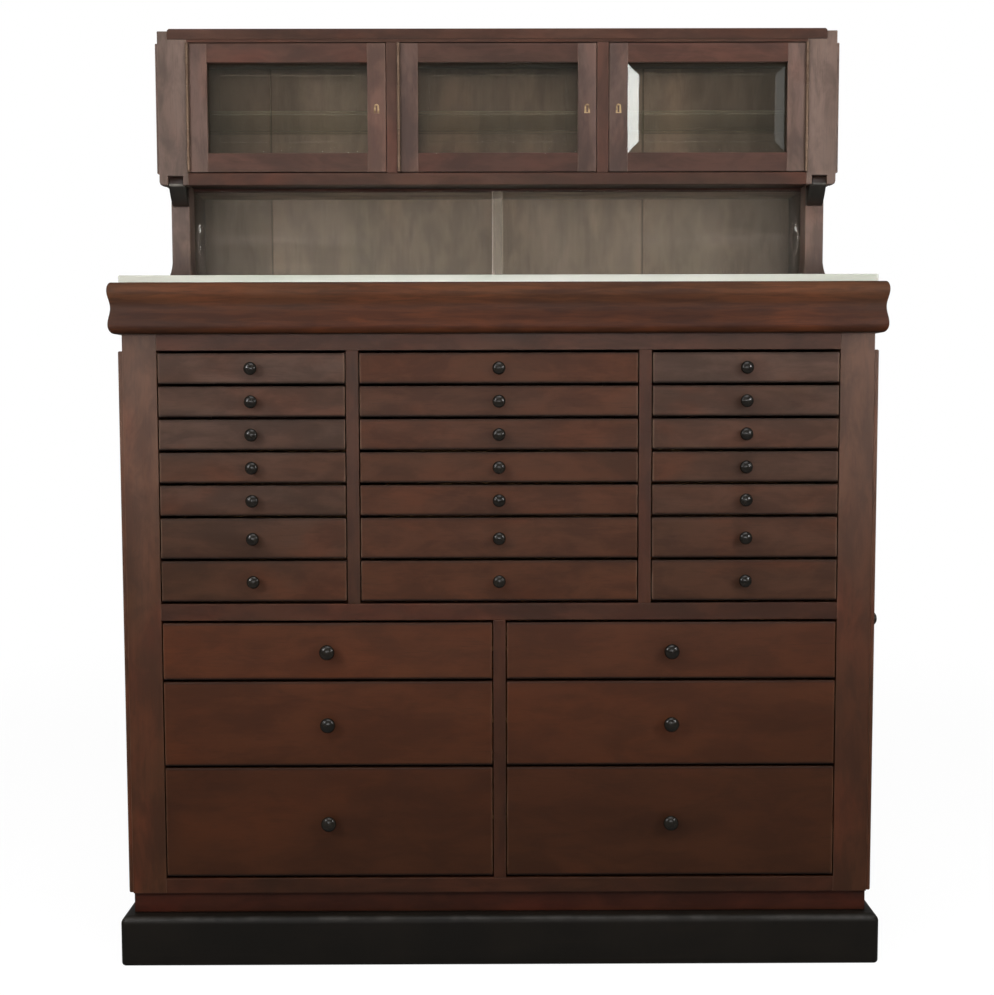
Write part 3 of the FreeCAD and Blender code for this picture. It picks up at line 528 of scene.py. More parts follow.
def mitredBoards(profile, worn, soil=None, turnFrom=None):
    # A section (out, height) carried round the front and both sides, in three boards that meet on the mitre. Where it
    # stands out further than turnFrom, its corner is a quarter turn of radius out - turnFrom: a point goes
    # radius (sin a, cos a) round the turn's centre, with a from 45 degrees at the mitre to 0 at the front.
    out, z = np.asarray(profile, float).T
    soil = np.zeros_like(out) if soil is None else soil
    sharp = turnFrom is None
    radius = np.zeros_like(out) if sharp else np.maximum(out - turnFrom, mitre.leastTurn)
    hair = mitre.hair if sharp else 0.0  # a hairline shows at a sharp mitre
    reach, ahead = base.outer + out - radius, base.face - out + radius
    rows = 0 if sharp else mitre.turnRows
    half, near = pi / 4, mitre.near  # a row close to each end keeps the end's shading to itself
    a = np.r_[half, np.linspace(half - near, 0, rows)][:, None]
    leftX, leftY = -reach + hair - radius * np.sin(a), ahead - radius * np.cos(a)
    end = mitre.frontEnd
    t = np.r_[-end, np.linspace(-1, 1, mitre.frontRows)[1:-1], end][:, None]
    frontX = np.vstack([leftX, t * reach, -leftX[::-1]])
    frontY = np.vstack([leftY, np.broadcast_to(ahead - radius, (len(t), len(out))), leftY[::-1]])
    a = np.r_[half, np.linspace(half + near, 2 * half, rows)][:, None]
    end = mitre.sideEnd
    t = np.r_[end, np.linspace(0, 1, mitre.sideRows)[1:-1], 1 - end, 1][:, None]
    sideX = np.vstack([-reach - radius * np.sin(a), np.broadcast_to(-reach - radius, (len(t), len(out)))])
    sideY = np.vstack([ahead + hair - radius * np.cos(a), ahead + t * (base.back - ahead)])

    def run(x, y, along, way):
        points = np.stack([x, y, np.broadcast_to(z, x.shape)], -1).reshape(-1, 3)
        made = asPart(points, [face[::way] for face in tubeFaces(*x.shape)], np.tile(worn, len(x)), along)
        return dict(made, soil=np.tile(soil, len(x)))

    return [run(frontX, frontY, 0, 1), run(sideX, sideY, 1, -1), run(-sideX, sideY, 1, 1)]


plinth = Named(out=18, deep=30, high=82, topRound=12, footRound=6, cornerRound=8, bearer=60, flat=3,
               rows=(16, 42, 66))

def plinthProfile(p):
    # Round at the foot and the top: quarter circles of their radii, sampled in even turns.
    t = np.linspace(0, pi / 2, 11)
    r, s = p.topRound, p.footRound
    foot = np.c_[p.out - s + s * np.sin(t), s - s * np.cos(t)]
    top = np.c_[p.out - r + r * np.cos(t), p.high - r + r * np.sin(t)]
    inner = p.out - p.deep
    mid = [(p.out, z) for z in p.rows]
    flat = [(p.out - r - p.flat, p.high), (inner, p.high), (inner, 0)]
    # The middle of the top round carries the arris mark: partly rubbed wear, partly a painted highlight.
    worn = np.r_[np.zeros(len(foot) + len(mid)), np.sin(2 * t) ** 4, np.zeros(len(flat))]
    return np.vstack([foot, mid, top, flat]), worn


inner = plinth.out - plinth.deep
plinthParts = mitredBoards(*plinthProfile(plinth), turnFrom=plinth.out - plinth.cornerRound)
x0, y0, y1 = base.outer + inner, base.face - inner, base.back + inner
plinthParts += [board(-x0, x0, y1, base.back, 0, plinth.high, along=0)]
plinthParts += [board(-plinth.bearer / 2, plinth.bearer / 2, y0, y1, 0, plinth.high, 0, 1)]
makePiece("plinth_boards", plinthParts, plinthBlack, "plinth")

neck = Named(setback=7, thick=28)
y0 = base.face + neck.setback
x0, zs = base.outer, (plinth.high, base.case)
neckParts = [board(-x0, x0, y0, y0 + neck.thick, *zs, along=0)]
neckParts += both(board(-x0, -x0 + neck.thick, y0 + neck.thick, base.back, *zs, axis=0, along=1))
x1, y1 = x0 - neck.thick, base.back
neckParts += [board(-x1, x1, y1 - neck.thick, y1, *zs, along=0)]
makePiece("neck_boards", neckParts, wood["neck"], "base_frame")

faceFrame = Named(stileEdge=dict(ease=0.5, wear=1.0), railEdge=dict(ease=0.6, wear=1.2), shades=(0.1, 1.3),
                  rails=[(116, 140.3), (567.2, 594.3), (1002.7, 1110)])
f0, f1, x0, x1 = base.face, base.frameBack, base.outer, base.bank
stileParts = both(board(-x0, -x1, f0, f1, base.case, base.slab, **faceFrame.stileEdge))
# Painted shade: the right stile is set darker than the left, as the light comes from the left.
makePiece("face_frame_stiles", shaded(stileParts, faceFrame.shades), wood["frame"], "case_face_frame")
railEdge = faceFrame.railEdge
railParts = [board(-x1, x1, f0, f1, *zs, along=0, **railEdge) for zs in faceFrame.rails]
makePiece("face_frame_rails", railParts, wood["rail"], "case_face_frame")

uprights = Named(centre=225, thick=20, guide=10, small=(594.3, 1002.7), large=(140.3, 567.2), deck=571.75, board=18,
                 subtop=1092, ease=0.5)
u = uprights
hidden = dict(axis=0, ease=u.ease)
lowRoom, highRoom = (base.case + u.board, u.deck), (u.deck + u.board, u.subtop)
x0, x1, y1 = u.centre, u.centre + u.thick, base.inside
uprightParts = both(board(x0, x1, f1, y1, *highRoom, **hidden))
uprightParts += both(board(x0, x1, f0, f1, *u.small, **railEdge))
x0, x1 = -u.thick / 2, u.thick / 2
uprightParts += [board(x0, x1, f1, y1, *lowRoom, **hidden)]
uprightParts += [board(x0, x1, f0, f1, *u.large, **railEdge)]
for room in (lowRoom, highRoom):
    uprightParts += both(board(base.bank, base.bank + u.guide, f1, y1, *room, **hidden))
makePiece("drawer_partitions", uprightParts, wood["rail"], "case_partitions")

dress("case_sides", darkBoards)
dress("case_decks", innerBoards)
dress("drawer_runners", innerBoards)

backBoards = Named(count=3, ease=1.6)
step = 2 * base.outer / backBoards.count
xs = -base.outer + step * np.arange(backBoards.count + 1)
backParts = [board(a, b, base.inside, base.back, base.case, base.slab, ease=backBoards.ease)
             for a, b in zip(xs, xs[1:])]
makePiece("case_back_boards", backParts, wood["neck"], "case_back")

sidePanel = Named(proud=7, round=3, rear=209, low=118, high=1002, play=0.3, tongue=11, cover=22, gap=1.5, sharp=0.15)
s, x0 = sidePanel, base.outer
faceOf = f0, s.rear, s.low, s.high
panel = board(-x0 - s.proud, -x0, *faceOf, axis=0, ease=s.round, farEase=s.sharp)
makePiece("left_panel_board", [panel], wood["frame"], "left_side_panel")

moulding = Named(marks=[(9.0, 0.0), (17.4, 13.8), (13.7, 41.0), (18.0, 68.0), (12.0, 81.0)], z=1029, dirt=0.9,
                 shade=0.22)

def mouldingProfile(m):
    # Legs from mark to mark (out, height), each a + (b - a) share. Out follows the wave (1 - cos(pi t)) / 2 between
    # the crests and the hollow, and a quarter circle at the foot and the head.
    t = np.linspace(0, 1, 12)
    wave = (1 - np.cos(pi * t)) / 2
    quick, slow = np.sin(pi / 2 * t), 1 - np.cos(pi / 2 * t)
    marks = np.array(m.marks)
    shares = np.c_[quick, slow], np.c_[wave, t], np.c_[wave, t], np.c_[slow, quick]
    legs = [(a + (b - a) * share)[1:] for a, b, share in zip(marks, marks[1:], shares)]
    points = np.vstack([marks[0], *legs, (0, marks[-1, 1]), (0, 0)])
    # Painted shade: darker along the hollow, and darkest at the foot and its back corner.
    deep = m.shade * np.r_[wave[1:], 1 - wave[1:]]
    rest = len(t) - 1
    worn = np.r_[np.zeros(len(t) + len(deep)), np.linspace(0, 1, rest), 0, 0]
    soil = np.r_[m.dirt * (1 - t) ** 2, deep, np.zeros(rest), 0, m.dirt]
    return points + (0, m.z), worn, soil


makePiece("worktop_moulding_boards", mitredBoards(*mouldingProfile(moulding)), wood["moulding"], "worktop_moulding")

slab = Named(inset=15, over=18, thick=12, ease=1.5)
x0 = base.outer + slab.over - slab.inset
y0 = base.face - slab.over + slab.inset
z0, z1 = base.slab, base.slab + slab.thick
slabPart = board(-x0, x0, y0, base.back, z0, z1, axis=2, along=0, ease=slab.ease)
makePiece("opal_slab", [slabPart], opal, "worktop_slab")
print("base cabinet: plinth, neck, frame, moulding, slab")


# Drawers

drawer = Named(
    small=Named(side=9, bottom=4, radius=10.5, long=17, look=wood["drawer"]),
    large=Named(side=12, bottom=6, radius=12.5, long=20, look=wood["large"]),
    thick=20, ease=1.2, wear=3.6, belowTop=8, aboveBottom=4, lift=4, back=195, groove=8, grooveDeep=5,
    seam=1.3, under=0.95, above=0.6, chance=0.4, rows=7, boxEdge=dict(ease=0.5, wear=1.2), backEase=0.5,
    floorEase=0.4)
knobForm = dict(levels=[0, 0.03, 0.2, 0.36, 0.44, 0.5, 0.56, 0.63, 0.71, 0.8, 0.88, 0.94, 0.98, 1.0],
                shares=[0.56, 0.5, 0.44, 0.47, 0.62, 0.82, 0.95, 1.0, 0.98, 0.89, 0.73, 0.52, 0.28, 0.04])

def evenRun(levels, shares, count=30):
    # The turned section, drawn straight between its marks and read at even shares of its length.
    run = np.r_[0, np.cumsum(np.hypot(np.diff(levels), np.diff(shares)))]
    even = np.linspace(0, run[-1], count)
    return np.interp(even, run, levels), np.interp(even, run, shares)


knobLevels, knobShares = evenRun(**knobForm)

def drawerPieces(node, kind, redness, shade):
    low, high = nodeBox(node)
    d, k = drawer, drawer[kind]
    f0, f1 = base.face, base.face + d.thick
    front = board(low[0], high[0], f0, f1, low[2], high[2], along=0, ease=d.ease, wear=d.wear)
    z = front["points"][:, 2]
    # Painted shade: a thin band at the front's bottom and top edges darkens, so the gaps read as wide shaded lines.
    front["soil"] = np.where(z < low[2] + d.seam, d.under, np.where(z > high[2] - d.seam, d.above, 0))
    for key, value in (("hue", redness), ("tone", shade)):
        front[key] = front[key] * d.chance + (1 - d.chance) * value
    makePiece(node + "_front", [front], k.look, node, node)
    mid = (low[2] + high[2]) / 2
    z0, z1 = low[2] + d.aboveBottom, high[2] - d.belowTop
    g0, g1 = mid - d.groove / 2, mid + d.groove / 2
    deep, wide = d.grooveDeep, k.side
    section = [(0, z0), (wide, z0), (wide, z1), (0, z1), (0, g1), (deep, g1), (deep, g0), (0, g0)]
    parts = [plate([(edge + way * x, z) for x, z in section], 1, f1, d.back, along=1, **d.boxEdge)
             for edge, way in ((low[0], 1), (high[0], -1))]
    in0, in1 = low[0] + wide, high[0] - wide
    floor = z0 + d.lift
    parts += [board(in0, in1, d.back - wide, d.back, floor, z1, along=0, ease=d.backEase)]
    parts += [board(in0, in1, f1, d.back - wide, floor, floor + k.bottom, axis=2, along=0, ease=d.floorEase)]
    makePiece(node + "_box", parts, wood["inner"], body=node)
    levels = f0 - k.long * knobLevels
    knob = turned(k.radius, levels[::-1], knobShares[::-1], ((low[0] + high[0]) / 2, mid), 1)
    makePiece(node + "_knob", [knob], knobBlack, body=node)


# Painted shade: a shade per row, darker down the right bank, towards the top of the centre one and on the lower left
# large drawer, matched to how light and sheen fall on the fronts.
smallTones = dict(left=(0.15, 0.4, 0.0), centre=(1.0, 2.0, -2.0), right=(0.3, 0.0, 1.0))
for bank, (redness, shade, change) in smallTones.items():  # the shade changes down the bank
    for row in range(1, drawer.rows + 1):
        drawerPieces(f"drawer_{bank}_{row}", "small", redness, shade + change * row / drawer.rows)
largeTones = dict(left=((0.6, 0.0), (0.6, 0.0), (0.0, 1.5)), right=((0.4, 1.3), (0.4, 1.3), (0.2, 1.3)))
for bank, tones in largeTones.items():
    for row, (redness, shade) in enumerate(tones, 1):
        drawerPieces(f"large_drawer_{bank}_{row}", "large", redness, shade)
print("drawers: 27 fronts with boxes and knobs")


# Side door

sideDoor = Named(knobBack=51, mid=560, tongueEase=0.6)
inset, x0 = s.cover + s.gap, base.outer
lip = board(x0 + s.play, x0 + s.proud, *faceOf, axis=0, ease=s.sharp, farEase=s.round)
tongue = board(x0 - s.tongue, x0 + s.play, f1 + s.gap, s.rear - inset, s.low + inset, s.high - inset,
               axis=0, ease=sideDoor.tongueEase)
makePiece("side_door_board", [lip, tongue], wood["frame"], "side_door", "side_door")
small = drawer.small
sideKnob = turned(small.radius, x0 + s.proud + small.long * knobLevels, knobShares,
                  (f0 + sideDoor.knobBack, sideDoor.mid), 0)
makePiece("side_door_knob", [sideKnob], knobBlack, body="side_door")
dress("side_door_hinge_leaf", hingeBrass)
dress("hinge_jamb_leaves", hingeBrass)
print("side door")


# Niche and hutch

niche = Named(top=1302, worktop=1122, half=577, wide=32, front=44, pane=85, block=20, cove=24, flare=6.5, bend=0.3,
              dirt=0.7, edge=(1.2, 2.6))

def nichePost(n):
    # The post's outline grows out below: by flare in the block, and over the cove by flare times the bow through
    # 1, bend and 0, at heights on the bow through 0, bend and 1.
    x0, x1 = -n.half, -n.half + n.wide
    corners = [(x0, n.front), (x1, n.front), (x1, n.pane), (x0, n.pane)]
    t = np.linspace(0, 1, 16)
    foot, top = n.worktop + n.block, n.top
    levels = np.r_[n.worktop, n.worktop + 1, foot - 1, foot + n.cove * bow(t, 0, n.bend, 1),
                   foot + n.cove + 30, top - 60, top - 30, top - 2, top]
    outs = np.r_[1, 1, 1, bow(t, 1, n.bend, 0), 0, 0, 0, 0, 0] * n.flare
    # Darker at the foot, and painted shade towards the top, under the hutch.
    soil = n.dirt * np.r_[1, 1, 1, 1 - 0.3 * t, 0, 0, 0.2, 0.5, 0.65]
    rings, worn = easedRings(facing(corners, 2), 2, -outs, *n.edge)
    rings[..., 1] = np.minimum(rings[..., 1], n.pane)  # its back stays flat
    made = carried(rings, worn, 2, levels, np.zeros(len(levels)), 2)
    return dict(made, soil=np.repeat(soil, rings.shape[1]))


makePiece("niche_post_pair", both(nichePost(niche)), wood["hutch"], "niche_posts")

corbel = Named(half=573.5, wide=25, cheek=4, front=13, post=44, foot=6, head=10, nose=8, drop=37, inside=29,
               rail=1296.5, bellyIn=0.42, bellyDown=0.62, bulge=2, lap=2, ends=[(0, 0.8), (0.4, 0.25), (1.2, 0)])

def corbelSide(c, n, cut=None):
    # The side view: head, round nose, then a belly that leads back to the post on a bow. A cut leaves only what is
    # below that height.
    t = np.linspace(0, 1, 13)
    top, nose, low = n.top, n.top - c.nose, n.top - c.drop
    start = 0 if cut is None else (top - cut) / (top - nose)
    s = start + (1 - start) * t
    bulge = np.c_[c.front - c.bulge * np.sin(pi * s), top + (nose - top) * s]
    y0, y1 = c.front, c.post - c.foot
    y, z = y0 + c.bellyIn * (y1 - y0), nose + c.bellyDown * (low - nose)
    belly = np.c_[bow(t, y0, y, y1), bow(t, nose, z, low)][1:]
    if cut is None:
        upper = [(c.post, low), (c.post, top), (c.inside, top), (c.inside, top + c.head), (y0, top + c.head)]
    else:
        upper = [(c.post, low), (c.post, cut)]
    points = np.vstack([bulge, belly, upper])
    # Painted highlight: the nose's round carries the arris mark, which turns it light grey.
    worn = np.r_[np.sin(pi * s) ** 2, np.zeros(len(belly) + len(upper))]
    soil = np.r_[np.maximum(1 - 3 * s, 0), np.clip(2.2 * t[1:] - 1.1, 0, 1), 1, np.zeros(len(upper) - 1)]
    soil[-1] = 1 if cut is None else 0
    return points, worn, soil


def corbelBlock(c, n, x0, x1, cut=None):
    # That side view carried across the width, a little rounded where it ends: ends are (way in, inset).
    side = corbelSide(c, n, cut)
    points, worn, soil = (value[::wayRound(side[0], 0)] for value in side)
    far, inset = np.array(c.ends).T
    wide = np.r_[x0 + far, x1 - far[::-1]]
    rings = drawnIn(points, 0, np.r_[inset, inset[::-1]])
    return dict(carried(rings, worn, 0, wide, np.zeros(len(wide)), 2), soil=np.tile(soil, len(wide)))


c = corbel
x0, x1 = -c.half, -c.half + c.wide
corbelParts = both(corbelBlock(c, niche, x0, x1))
corbelParts += both(corbelBlock(c, niche, x1 - c.lap, x1 + c.cheek, c.rail))
makePiece("corbel_pair", corbelParts, corbelBlack, "niche_corbels")

dress("pane_tracks", trackWood)

grip = Named(place=536, wide=13, high=54, deep=1.8, edge=1.8, lap=18, haze=0.15, rim=0.35, rimWide=0.12)

def dippedPane(low, high, gripX, g):
    # Two grids in (x, z), joined round the edge. The front one has the ground finger grip, an oval dip of
    # deep (1 - u^2 - v^2)^0.7, where u and v run from -1 to 1 across it.
    gripZ = (low[2] + high[2]) / 2
    fine = np.linspace(-1.15, 1.15, 31)
    ends = [g.edge, g.lap, g.lap + 0.5]
    x = np.unique(np.r_[low[0], low[0] + ends, gripX + g.wide / 2 * fine, high[0] - ends, high[0]])
    z = np.unique(np.r_[low[2], low[2] + g.edge, gripZ + g.high / 2 * fine, high[2] - g.edge, high[2]])
    gx, gz = np.meshgrid(x, z, indexing="ij")
    inside = ((gx - gripX) / g.wide * 2) ** 2 + ((gz - gripZ) / g.high * 2) ** 2
    dip = g.deep * np.clip(1 - inside, 0, 1) ** 0.7
    front = np.stack([gx, low[1] + dip, gz], -1).reshape(-1, 3)
    back = np.stack([gx, np.full_like(gx, high[1]), gz], -1).reshape(-1, 3)
    meeting = high[0] if gripX < 0 else low[0]
    # Painted reflection: a light film where the two panes overlap.
    arris = g.haze * (np.abs(gx - meeting) < g.lap + 0.1)
    arris[[0, -1]] = 1
    arris[:, [0, -1]] = 1
    # Painted highlight: a light ring round the grip's rim.
    rim = g.rim * np.exp(-((np.sqrt(inside) - 1) / g.rimWide) ** 2)
    index = np.arange(gx.size).reshape(gx.shape)
    quads = sheetQuads(index)
    loop = np.r_[index[:-1, 0], index[-1, :-1], index[:0:-1, -1], index[0, :0:-1]]
    onward = np.roll(loop, -1)
    edge = np.c_[loop, loop + gx.size, onward + gx.size, onward]
    faces = quads.tolist() + (quads[:, ::-1] + gx.size).tolist() + edge.tolist()
    return asPart(np.vstack([front, back]), faces, np.r_[np.maximum(arris, rim).ravel(), arris.ravel()], 2)


for side, sign in (("left", -1), ("right", 1)):
    node = side + "_pane"
    pane = dippedPane(*nodeBox(node), sign * grip.place, grip)
    makePiece(side + "_sliding_pane", [pane], paneGlass, node, node)

hutch = Named(outer=589, inside=571.5, face=9, frameBack=29, back=229, boardBack=221, soffit=1302, floor=1318,
              doorTop=1540.5, railLow=1297, sideTop=1560, top=1564, thick=18, doors=538.25, muntin=172.75,
              muntinWide=20, shelf=1424, backLeft=144.5, backRight=296.5, shades=(0.6, 0.0, 0.9), seam=0.65,
              backEase=1.0, railEases=(1.0, 0.6))
h = hutch
cuts = [-h.inside, -h.inside + h.backLeft, h.inside - h.backRight, h.inside]
z0, z1 = niche.worktop, h.top - h.thick
backParts = [board(a, b, h.boardBack, h.back, z0, z1, ease=h.backEase) for a, b in zip(cuts, cuts[1:])]
for part in shaded(backParts, h.shades):
    part["soil"] = part["arris"] * h.seam
makePiece("hutch_back_boards", backParts, wood["niche"], "hutch_back")

sides = Named(proud=5.5, chamfer=2.0, sharp=0.2, setback=7, nicheIn=553, nicheThick=18, wallEase=0.6)
x0, y1 = -h.outer, h.back
sideParts = both(board(x0, -h.inside, h.frameBack, y1, h.soffit, h.sideTop, axis=0))
sideParts += both(board(x0 - sides.proud, x0, h.face + sides.setback, y1, h.floor, h.doorTop, axis=0,
                        ease=sides.chamfer, farEase=sides.sharp))
x0, x1 = -sides.nicheIn - sides.nicheThick, -sides.nicheIn
wallParts = both(board(x0, x1, niche.pane, h.boardBack, niche.worktop, h.soffit, axis=0, ease=sides.wallEase))
makePiece("niche_walls", wallParts, wood["wall"], "hutch_sides")
makePiece("hutch_side_boards", sideParts, wood["hutch"], "hutch_sides")

boards = Named(cleat=8, setback=12, chamfer=3, lipping=0.95, wear=1.2, upright=0.6, lipEase=0.3, cleatEase=0.5)
x0, z0, y1, chamfer = h.inside, h.soffit, h.boardBack, boards.chamfer
floorPart = board(-x0, x0, niche.pane, y1, z0, h.floor, axis=2, along=0)
lipping = board(-x0, x0, h.frameBack, niche.pane, z0, h.floor, axis=2, along=0, ease=boards.lipEase)
# Painted shade: the floor's front strip, under the rail, is darkened right down to the pore colour.
lipping["soil"][:] = boards.lipping
x1, slope = x0 - chamfer, h.top - chamfer
section = [(-x0, z1), (x0, z1), (x0, slope), (x1, h.top), (-x1, h.top), (-x0, slope)]
topPart = plate(section, 1, h.face, h.back, along=0, wear=boards.wear)
m0, m1 = h.muntin, h.muntin + h.muntinWide
makePiece("hutch_floor_board", [floorPart], wood["soffit"], "hutch_boards")
boardParts = [topPart, lipping]
boardParts += both(board(m0, m1, h.frameBack, y1, h.floor, z1, axis=0, ease=boards.upright))
cleat, y0, shelf = boards.cleat, h.frameBack + boards.setback, h.shelf
for x in (-x0, -m1 - cleat, -m0, m0 - cleat, m1, x0 - cleat):
    boardParts += [board(x, x + cleat, y0, y1, shelf - cleat, shelf, along=1, ease=boards.cleatEase)]
makePiece("hutch_inner_boards", boardParts, wood["rail"], "hutch_boards")
muntinParts = both(board(m0, m1, h.face, h.frameBack, h.floor, h.doorTop))
makePiece("hutch_muntins", muntinParts, wood["doorRail"], "hutch_boards")

endStile = Named(round=7, ease=0.6, head=1.2, play=0.5, shades=(1.7, 0.5))
e, c = endStile, corbel
n0, n1 = -c.half - e.play, -c.half + c.wide + e.play
notch = h.soffit + c.head + e.play
low, high = h.railLow, h.sideTop
corners = [(-h.outer, low), (n0, low), (n0, notch), (n1, notch), (n1, low), (-h.doors, low),
           (-h.doors, z1), (-h.inside, z1), (-h.inside, high), (-h.outer, high)]
radii = np.r_[e.round, np.full(len(corners) - 2, e.ease), e.head][::wayRound(corners, 1)]
y0, y1 = h.face, h.frameBack
stileParts = both(plate(corners, 1, y0, y1, e.head, radii=radii))
# Painted shade: the left end stile is set darker than the right, which the lamp from the left lights more.
makePiece("hutch_stiles", shaded(stileParts, e.shades), wood["hutch"], "hutch_face_frame")
x0 = h.doors
railParts = [board(-x0, x0, y0, y1, *zs, along=0, ease=ease)
             for zs, ease in zip(((h.railLow, h.floor), (h.doorTop, z1)), h.railEases)]
makePiece("hutch_rails", railParts, wood["rail"], "hutch_face_frame")

glassShelf = Named(thick=6, play=1, ease=0.6)
g = glassShelf
y0, y1 = h.frameBack + boards.setback, h.boardBack - g.play
rooms = [(-h.inside, -m1), (-m0, m0), (m1, h.inside)]
# Painted highlight: the shelves' eased edges carry the arris mark, a light film along their fronts.
shelfParts = [board(a + g.play, b - g.play, y0, y1, shelf, shelf + g.thick, axis=2, ease=g.ease)
              for a, b in rooms]
makePiece("glass_shelf_panes", shelfParts, shelfGlass, "glass_shelves")
print("niche and hutch")


# Glazed doors

door = Named(
    thick=20, stile=32, rail=33, lip=8, rebate=7, bead=6, glass=5, play=1, glassEdge=2.5, bevel=26, gap=1.25,
    hingeGap=2.5, flat=0.8, ease=1.0, beadEase=1.2, joint=0.1, jointEase=0.4, railWear=1.2,
    # The outer stiles are set lighter and less red, so they take more of the painted sheen.
    stileShades=dict(left_door=(0.55, 0.7), middle_door=(1.1, 1.1), right_door=(1.1, 0.2)),
    stileRedness=dict(left_door=(0.0, 0.8), middle_door=(0.1, 0.15), right_door=(0.1, 0.0)),
    railShade=dict(left_door=0.1, middle_door=1.5, right_door=1.1))

def rebated(a, b, inward, y0, d):
    # Section of a frame member between a and b: an L whose rebate for the glass is on its inner side.
    far, edge = (a, b) if inward > 0 else (b, a)
    bed = edge - inward * d.rebate
    lip, back = y0 + d.lip, y0 + d.thick
    return [(far, y0), (edge, y0), (edge, lip), (bed, lip), (bed, back), (far, back)]


def bevelledPane(x0, x1, y0, z0, z1, d):
    # The pane's outline carried from front to back: drawn in by the bevel at the front, whole at the thin edge.
    # One more ring on each side of the bevel's inner line keeps both faces flat.
    corners = facing([(x0, z0), (x1, z0), (x1, z1), (x0, z1)], 1)
    bevel, flat = d.bevel, d.flat
    slope = (d.glass - d.glassEdge) / bevel
    insets = np.r_[bevel + flat, bevel, bevel - flat, flat, 0, 0, flat]
    levels = y0 + slope * np.maximum(bevel - insets, 0)
    levels[-2:] = y0 + d.glass
    # Painted highlight: the arris mark on the bevel's inner line gives a thin light film there.
    return carried(drawnIn(corners, 1, insets), np.zeros(4), 1, levels, np.r_[0, 1, 0, 0, 0.6, 0.6, 0], 2)


def doorPieces(name, opening, hinge):
    d, frameNode = door, name + "_frame"
    left = opening[0] + (d.hingeGap if hinge < 0 else d.gap)
    right = opening[1] - (d.gap if hinge < 0 else d.hingeGap)
    low, high = h.floor + d.gap, h.doorTop - d.gap
    y0 = h.face
    in0, in1 = left + d.stile, right - d.stile
    g0, g1 = low + d.rail, high - d.rail
    parts = [plate(rebated(*span, y0, d), 2, low, high, d.ease) for span in ((left, in0, 1), (in1, right, -1))]
    shaded(parts, d.stileShades[name])
    shaded(parts, d.stileRedness[name], "hue")
    makePiece(name + "_stiles", parts, wood["door"], frameNode, name)
    parts = []
    for span in ((low, g0, 1), (g1, high, -1)):
        section = [(y, z) for z, y in rebated(*span, y0, d)]
        parts += [plate(section, 0, in0 + d.joint, in1 - d.joint, d.jointEase, 0, d.ease, d.railWear)]
    b0, b1, r, bead = y0 + d.lip + d.glass, y0 + d.thick, d.rebate, d.bead
    ease = d.beadEase
    parts += [board(in0 - r, in1 + r, b0, b1, z, z + bead, along=0, ease=ease) for z in (g0 - r, g1 + r - bead)]
    parts += [board(x, x + bead, b0, b1, g0 - r + bead, g1 + r - bead, ease=ease) for x in (in0 - r, in1 + r - bead)]
    shaded(parts, [d.railShade[name]] * len(parts))
    makePiece(name + "_rails", parts, wood["doorRail"], frameNode, name)
    spread = r - d.play
    pane = bevelledPane(in0 - spread, in1 + spread, y0 + d.lip, g0 - spread, g1 + spread, d)
    makePiece(name + "_bevelled_glass", [pane], doorGlass, name + "_glass", name, smooth=False)
    hingeX = opening[0] if hinge < 0 else opening[1]
    dress(name + "_fittings", brassLook(name + "_brass", **doorBrass, hingeX=hingeX))


doorPieces("left_door", (-h.doors, -m1), -1)
doorPieces("middle_door", (-m0, m0), -1)
doorPieces("right_door", (m1, h.doors), 1)
print("glazed doors")


# Floor, light and camera

white = colour((255, 255, 255))
studio = Named(bounce=(150, 150, 150), glow=0.93, lit=(96, 96, 96), back=1.0, near=1.2, far=3.2, ambient=0.2,
               wide=(-30, 30), deep=(-20, 40), rows=9)

def floorSheet(s):
    # A flat sheet: a grid of (x, y) on the floor. Far from the cabinet it is as bright as the backdrop.
    rows = s.rows
    x, y = np.meshgrid(np.linspace(*s.wide, rows), np.linspace(*s.deep, rows), indexing="ij")
    grid = np.stack([x, y, np.zeros_like(x)], -1)
    mesh = bpy.data.meshes.new("studio_floor")
    mesh.from_pydata(grid.reshape(-1, 3), [], sheetQuads(np.arange(x.size).reshape(x.shape)).tolist())
    look, w, place = newLook("studio_paper")
    seen = w.node("LightPath", out="Is Camera Ray")
    away = w.node("VectorMath", {0: place}, {"operation": "LENGTH"}, "Value")
    plain = w.node("BsdfDiffuse", {"Color": colour(s.bounce)})
    lit = w.node("BsdfPrincipled", {
        "Base Color": colour(s.lit), "Roughness": 1.0, "Specular IOR Level": 0.0,
        "Emission Color": white, "Emission Strength": s.glow})
    backdrop = w.node("Emission", {"Color": white, "Strength": s.back})
    paper = w.node("MixShader", {0: away.ramp(s.near, s.far), 1: lit, 2: backdrop})
    w.done(w.node("MixShader", {0: seen, 1: plain, 2: paper}))
    mesh.materials.append(look)
    sheet = added("studio_floor", mesh)


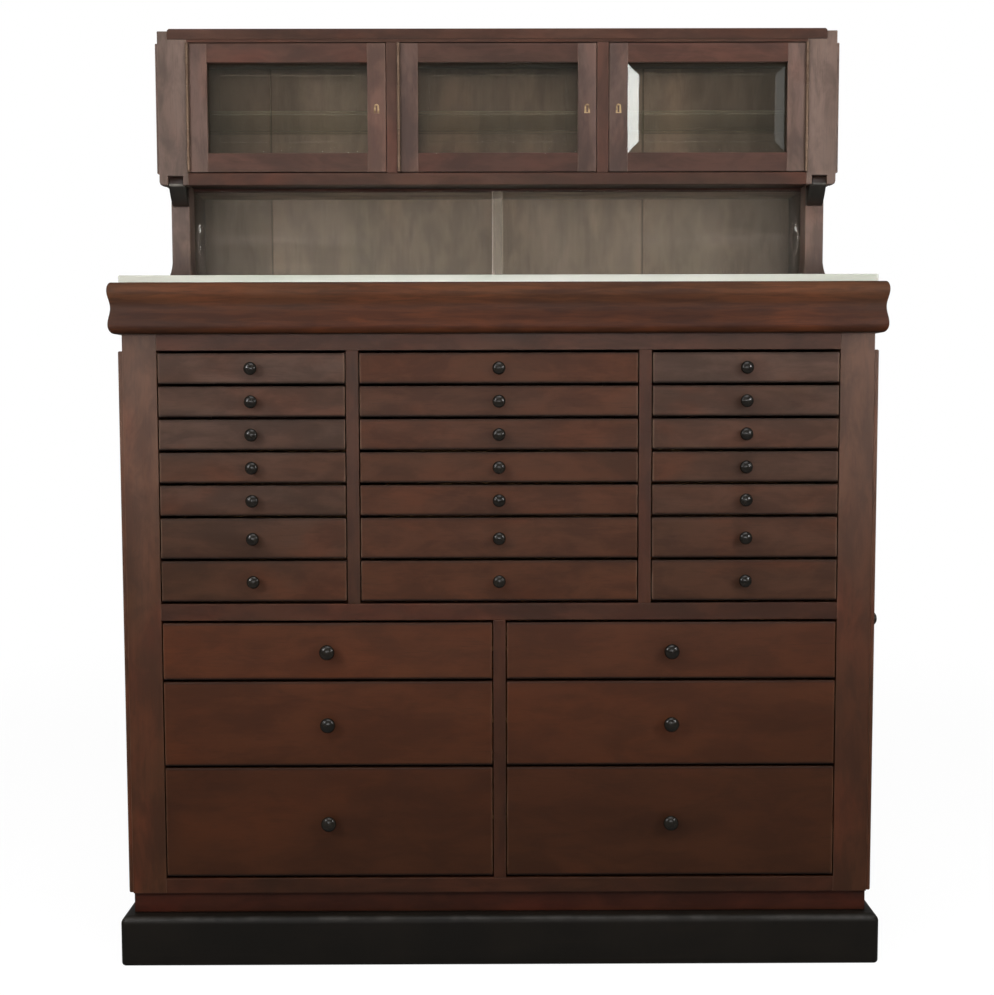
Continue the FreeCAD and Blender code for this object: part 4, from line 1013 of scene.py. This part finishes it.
floorSheet(studio)
world = bpy.data.worlds.new("studio")
scene.world = world
world.use_nodes = True
world.node_tree.nodes.clear()
w = Wire(world.node_tree)
seen = w.node("LightPath", out="Is Camera Ray")
strength = seen * (studio.back - studio.ambient) + studio.ambient
w.done(w.node("Background", {"Color": white, "Strength": strength}), "OutputWorld")

lamps = dict(  # place, aim, size, power, spread
    key=((-2.1, -2.6, 2.7), (0.0, 0.0, 0.9), (0.9, 0.9), 17, 180),
    front=((0.2, -2.0, 3.6), (0.0, 0.0, 1.1), (2.2, 1.2), 30, 180),
    low=((0.0, -3.4, 1.08), (0.0, 0.0, 1.4), (2.4, 0.36), 5.5, 60),  # no door glass mirrors it
    leftStrip=((-1.5, -1.45, 1.35), (-0.2, 0.0, 0.8), (0.2, 0.4), 12, 180),
    rightStrip=((1.5, -1.45, 1.35), (0.2, 0.0, 0.8), (0.2, 0.4), 14.5, 180),
    top=((0.0, -0.6, 3.8), (0.0, 0.0, 0.0), (2.6, 2.6), 23, 180),
    window=((-1.62, -20.0, 5.63), (0.235, 0.0, 1.43), (0.5, 1.5), 50, 180),
    panel=((2.2, -4.0, 2.3), (0.5, 0.0, 1.43), (0.25, 0.6), 0.8, 180))
for name, (place, aim, size, power, spread) in lamps.items():
    light = bpy.data.lights.new(name + "_light", "AREA")
    light.shape = "RECTANGLE"
    light.size, light.size_y = size
    light.energy, light.spread = power, radians(spread)
    holder = added(name + "_light", light)
    holder.location = place
    holder.rotation_euler = (Vector(aim) - Vector(place)).to_track_quat("-Z", "Y").to_euler()

view = Named(lens=49.93, sensor=36, place=(-0.011, -2.428, 0.923), down=4.042, right=0.196, roll=-0.139)
camera = added("camera", bpy.data.cameras.new("camera"))
camera.data.lens, camera.data.sensor_width = view.lens, view.sensor
camera.location = view.place
turn = Euler((radians(90 - view.down), 0, radians(-view.right))).to_matrix()
camera.rotation_euler = (turn @ Matrix.Rotation(radians(view.roll), 3, "Z")).to_euler()
scene.camera = camera
scene.view_settings.view_transform = "Standard"
print("studio: floor, lights and camera")
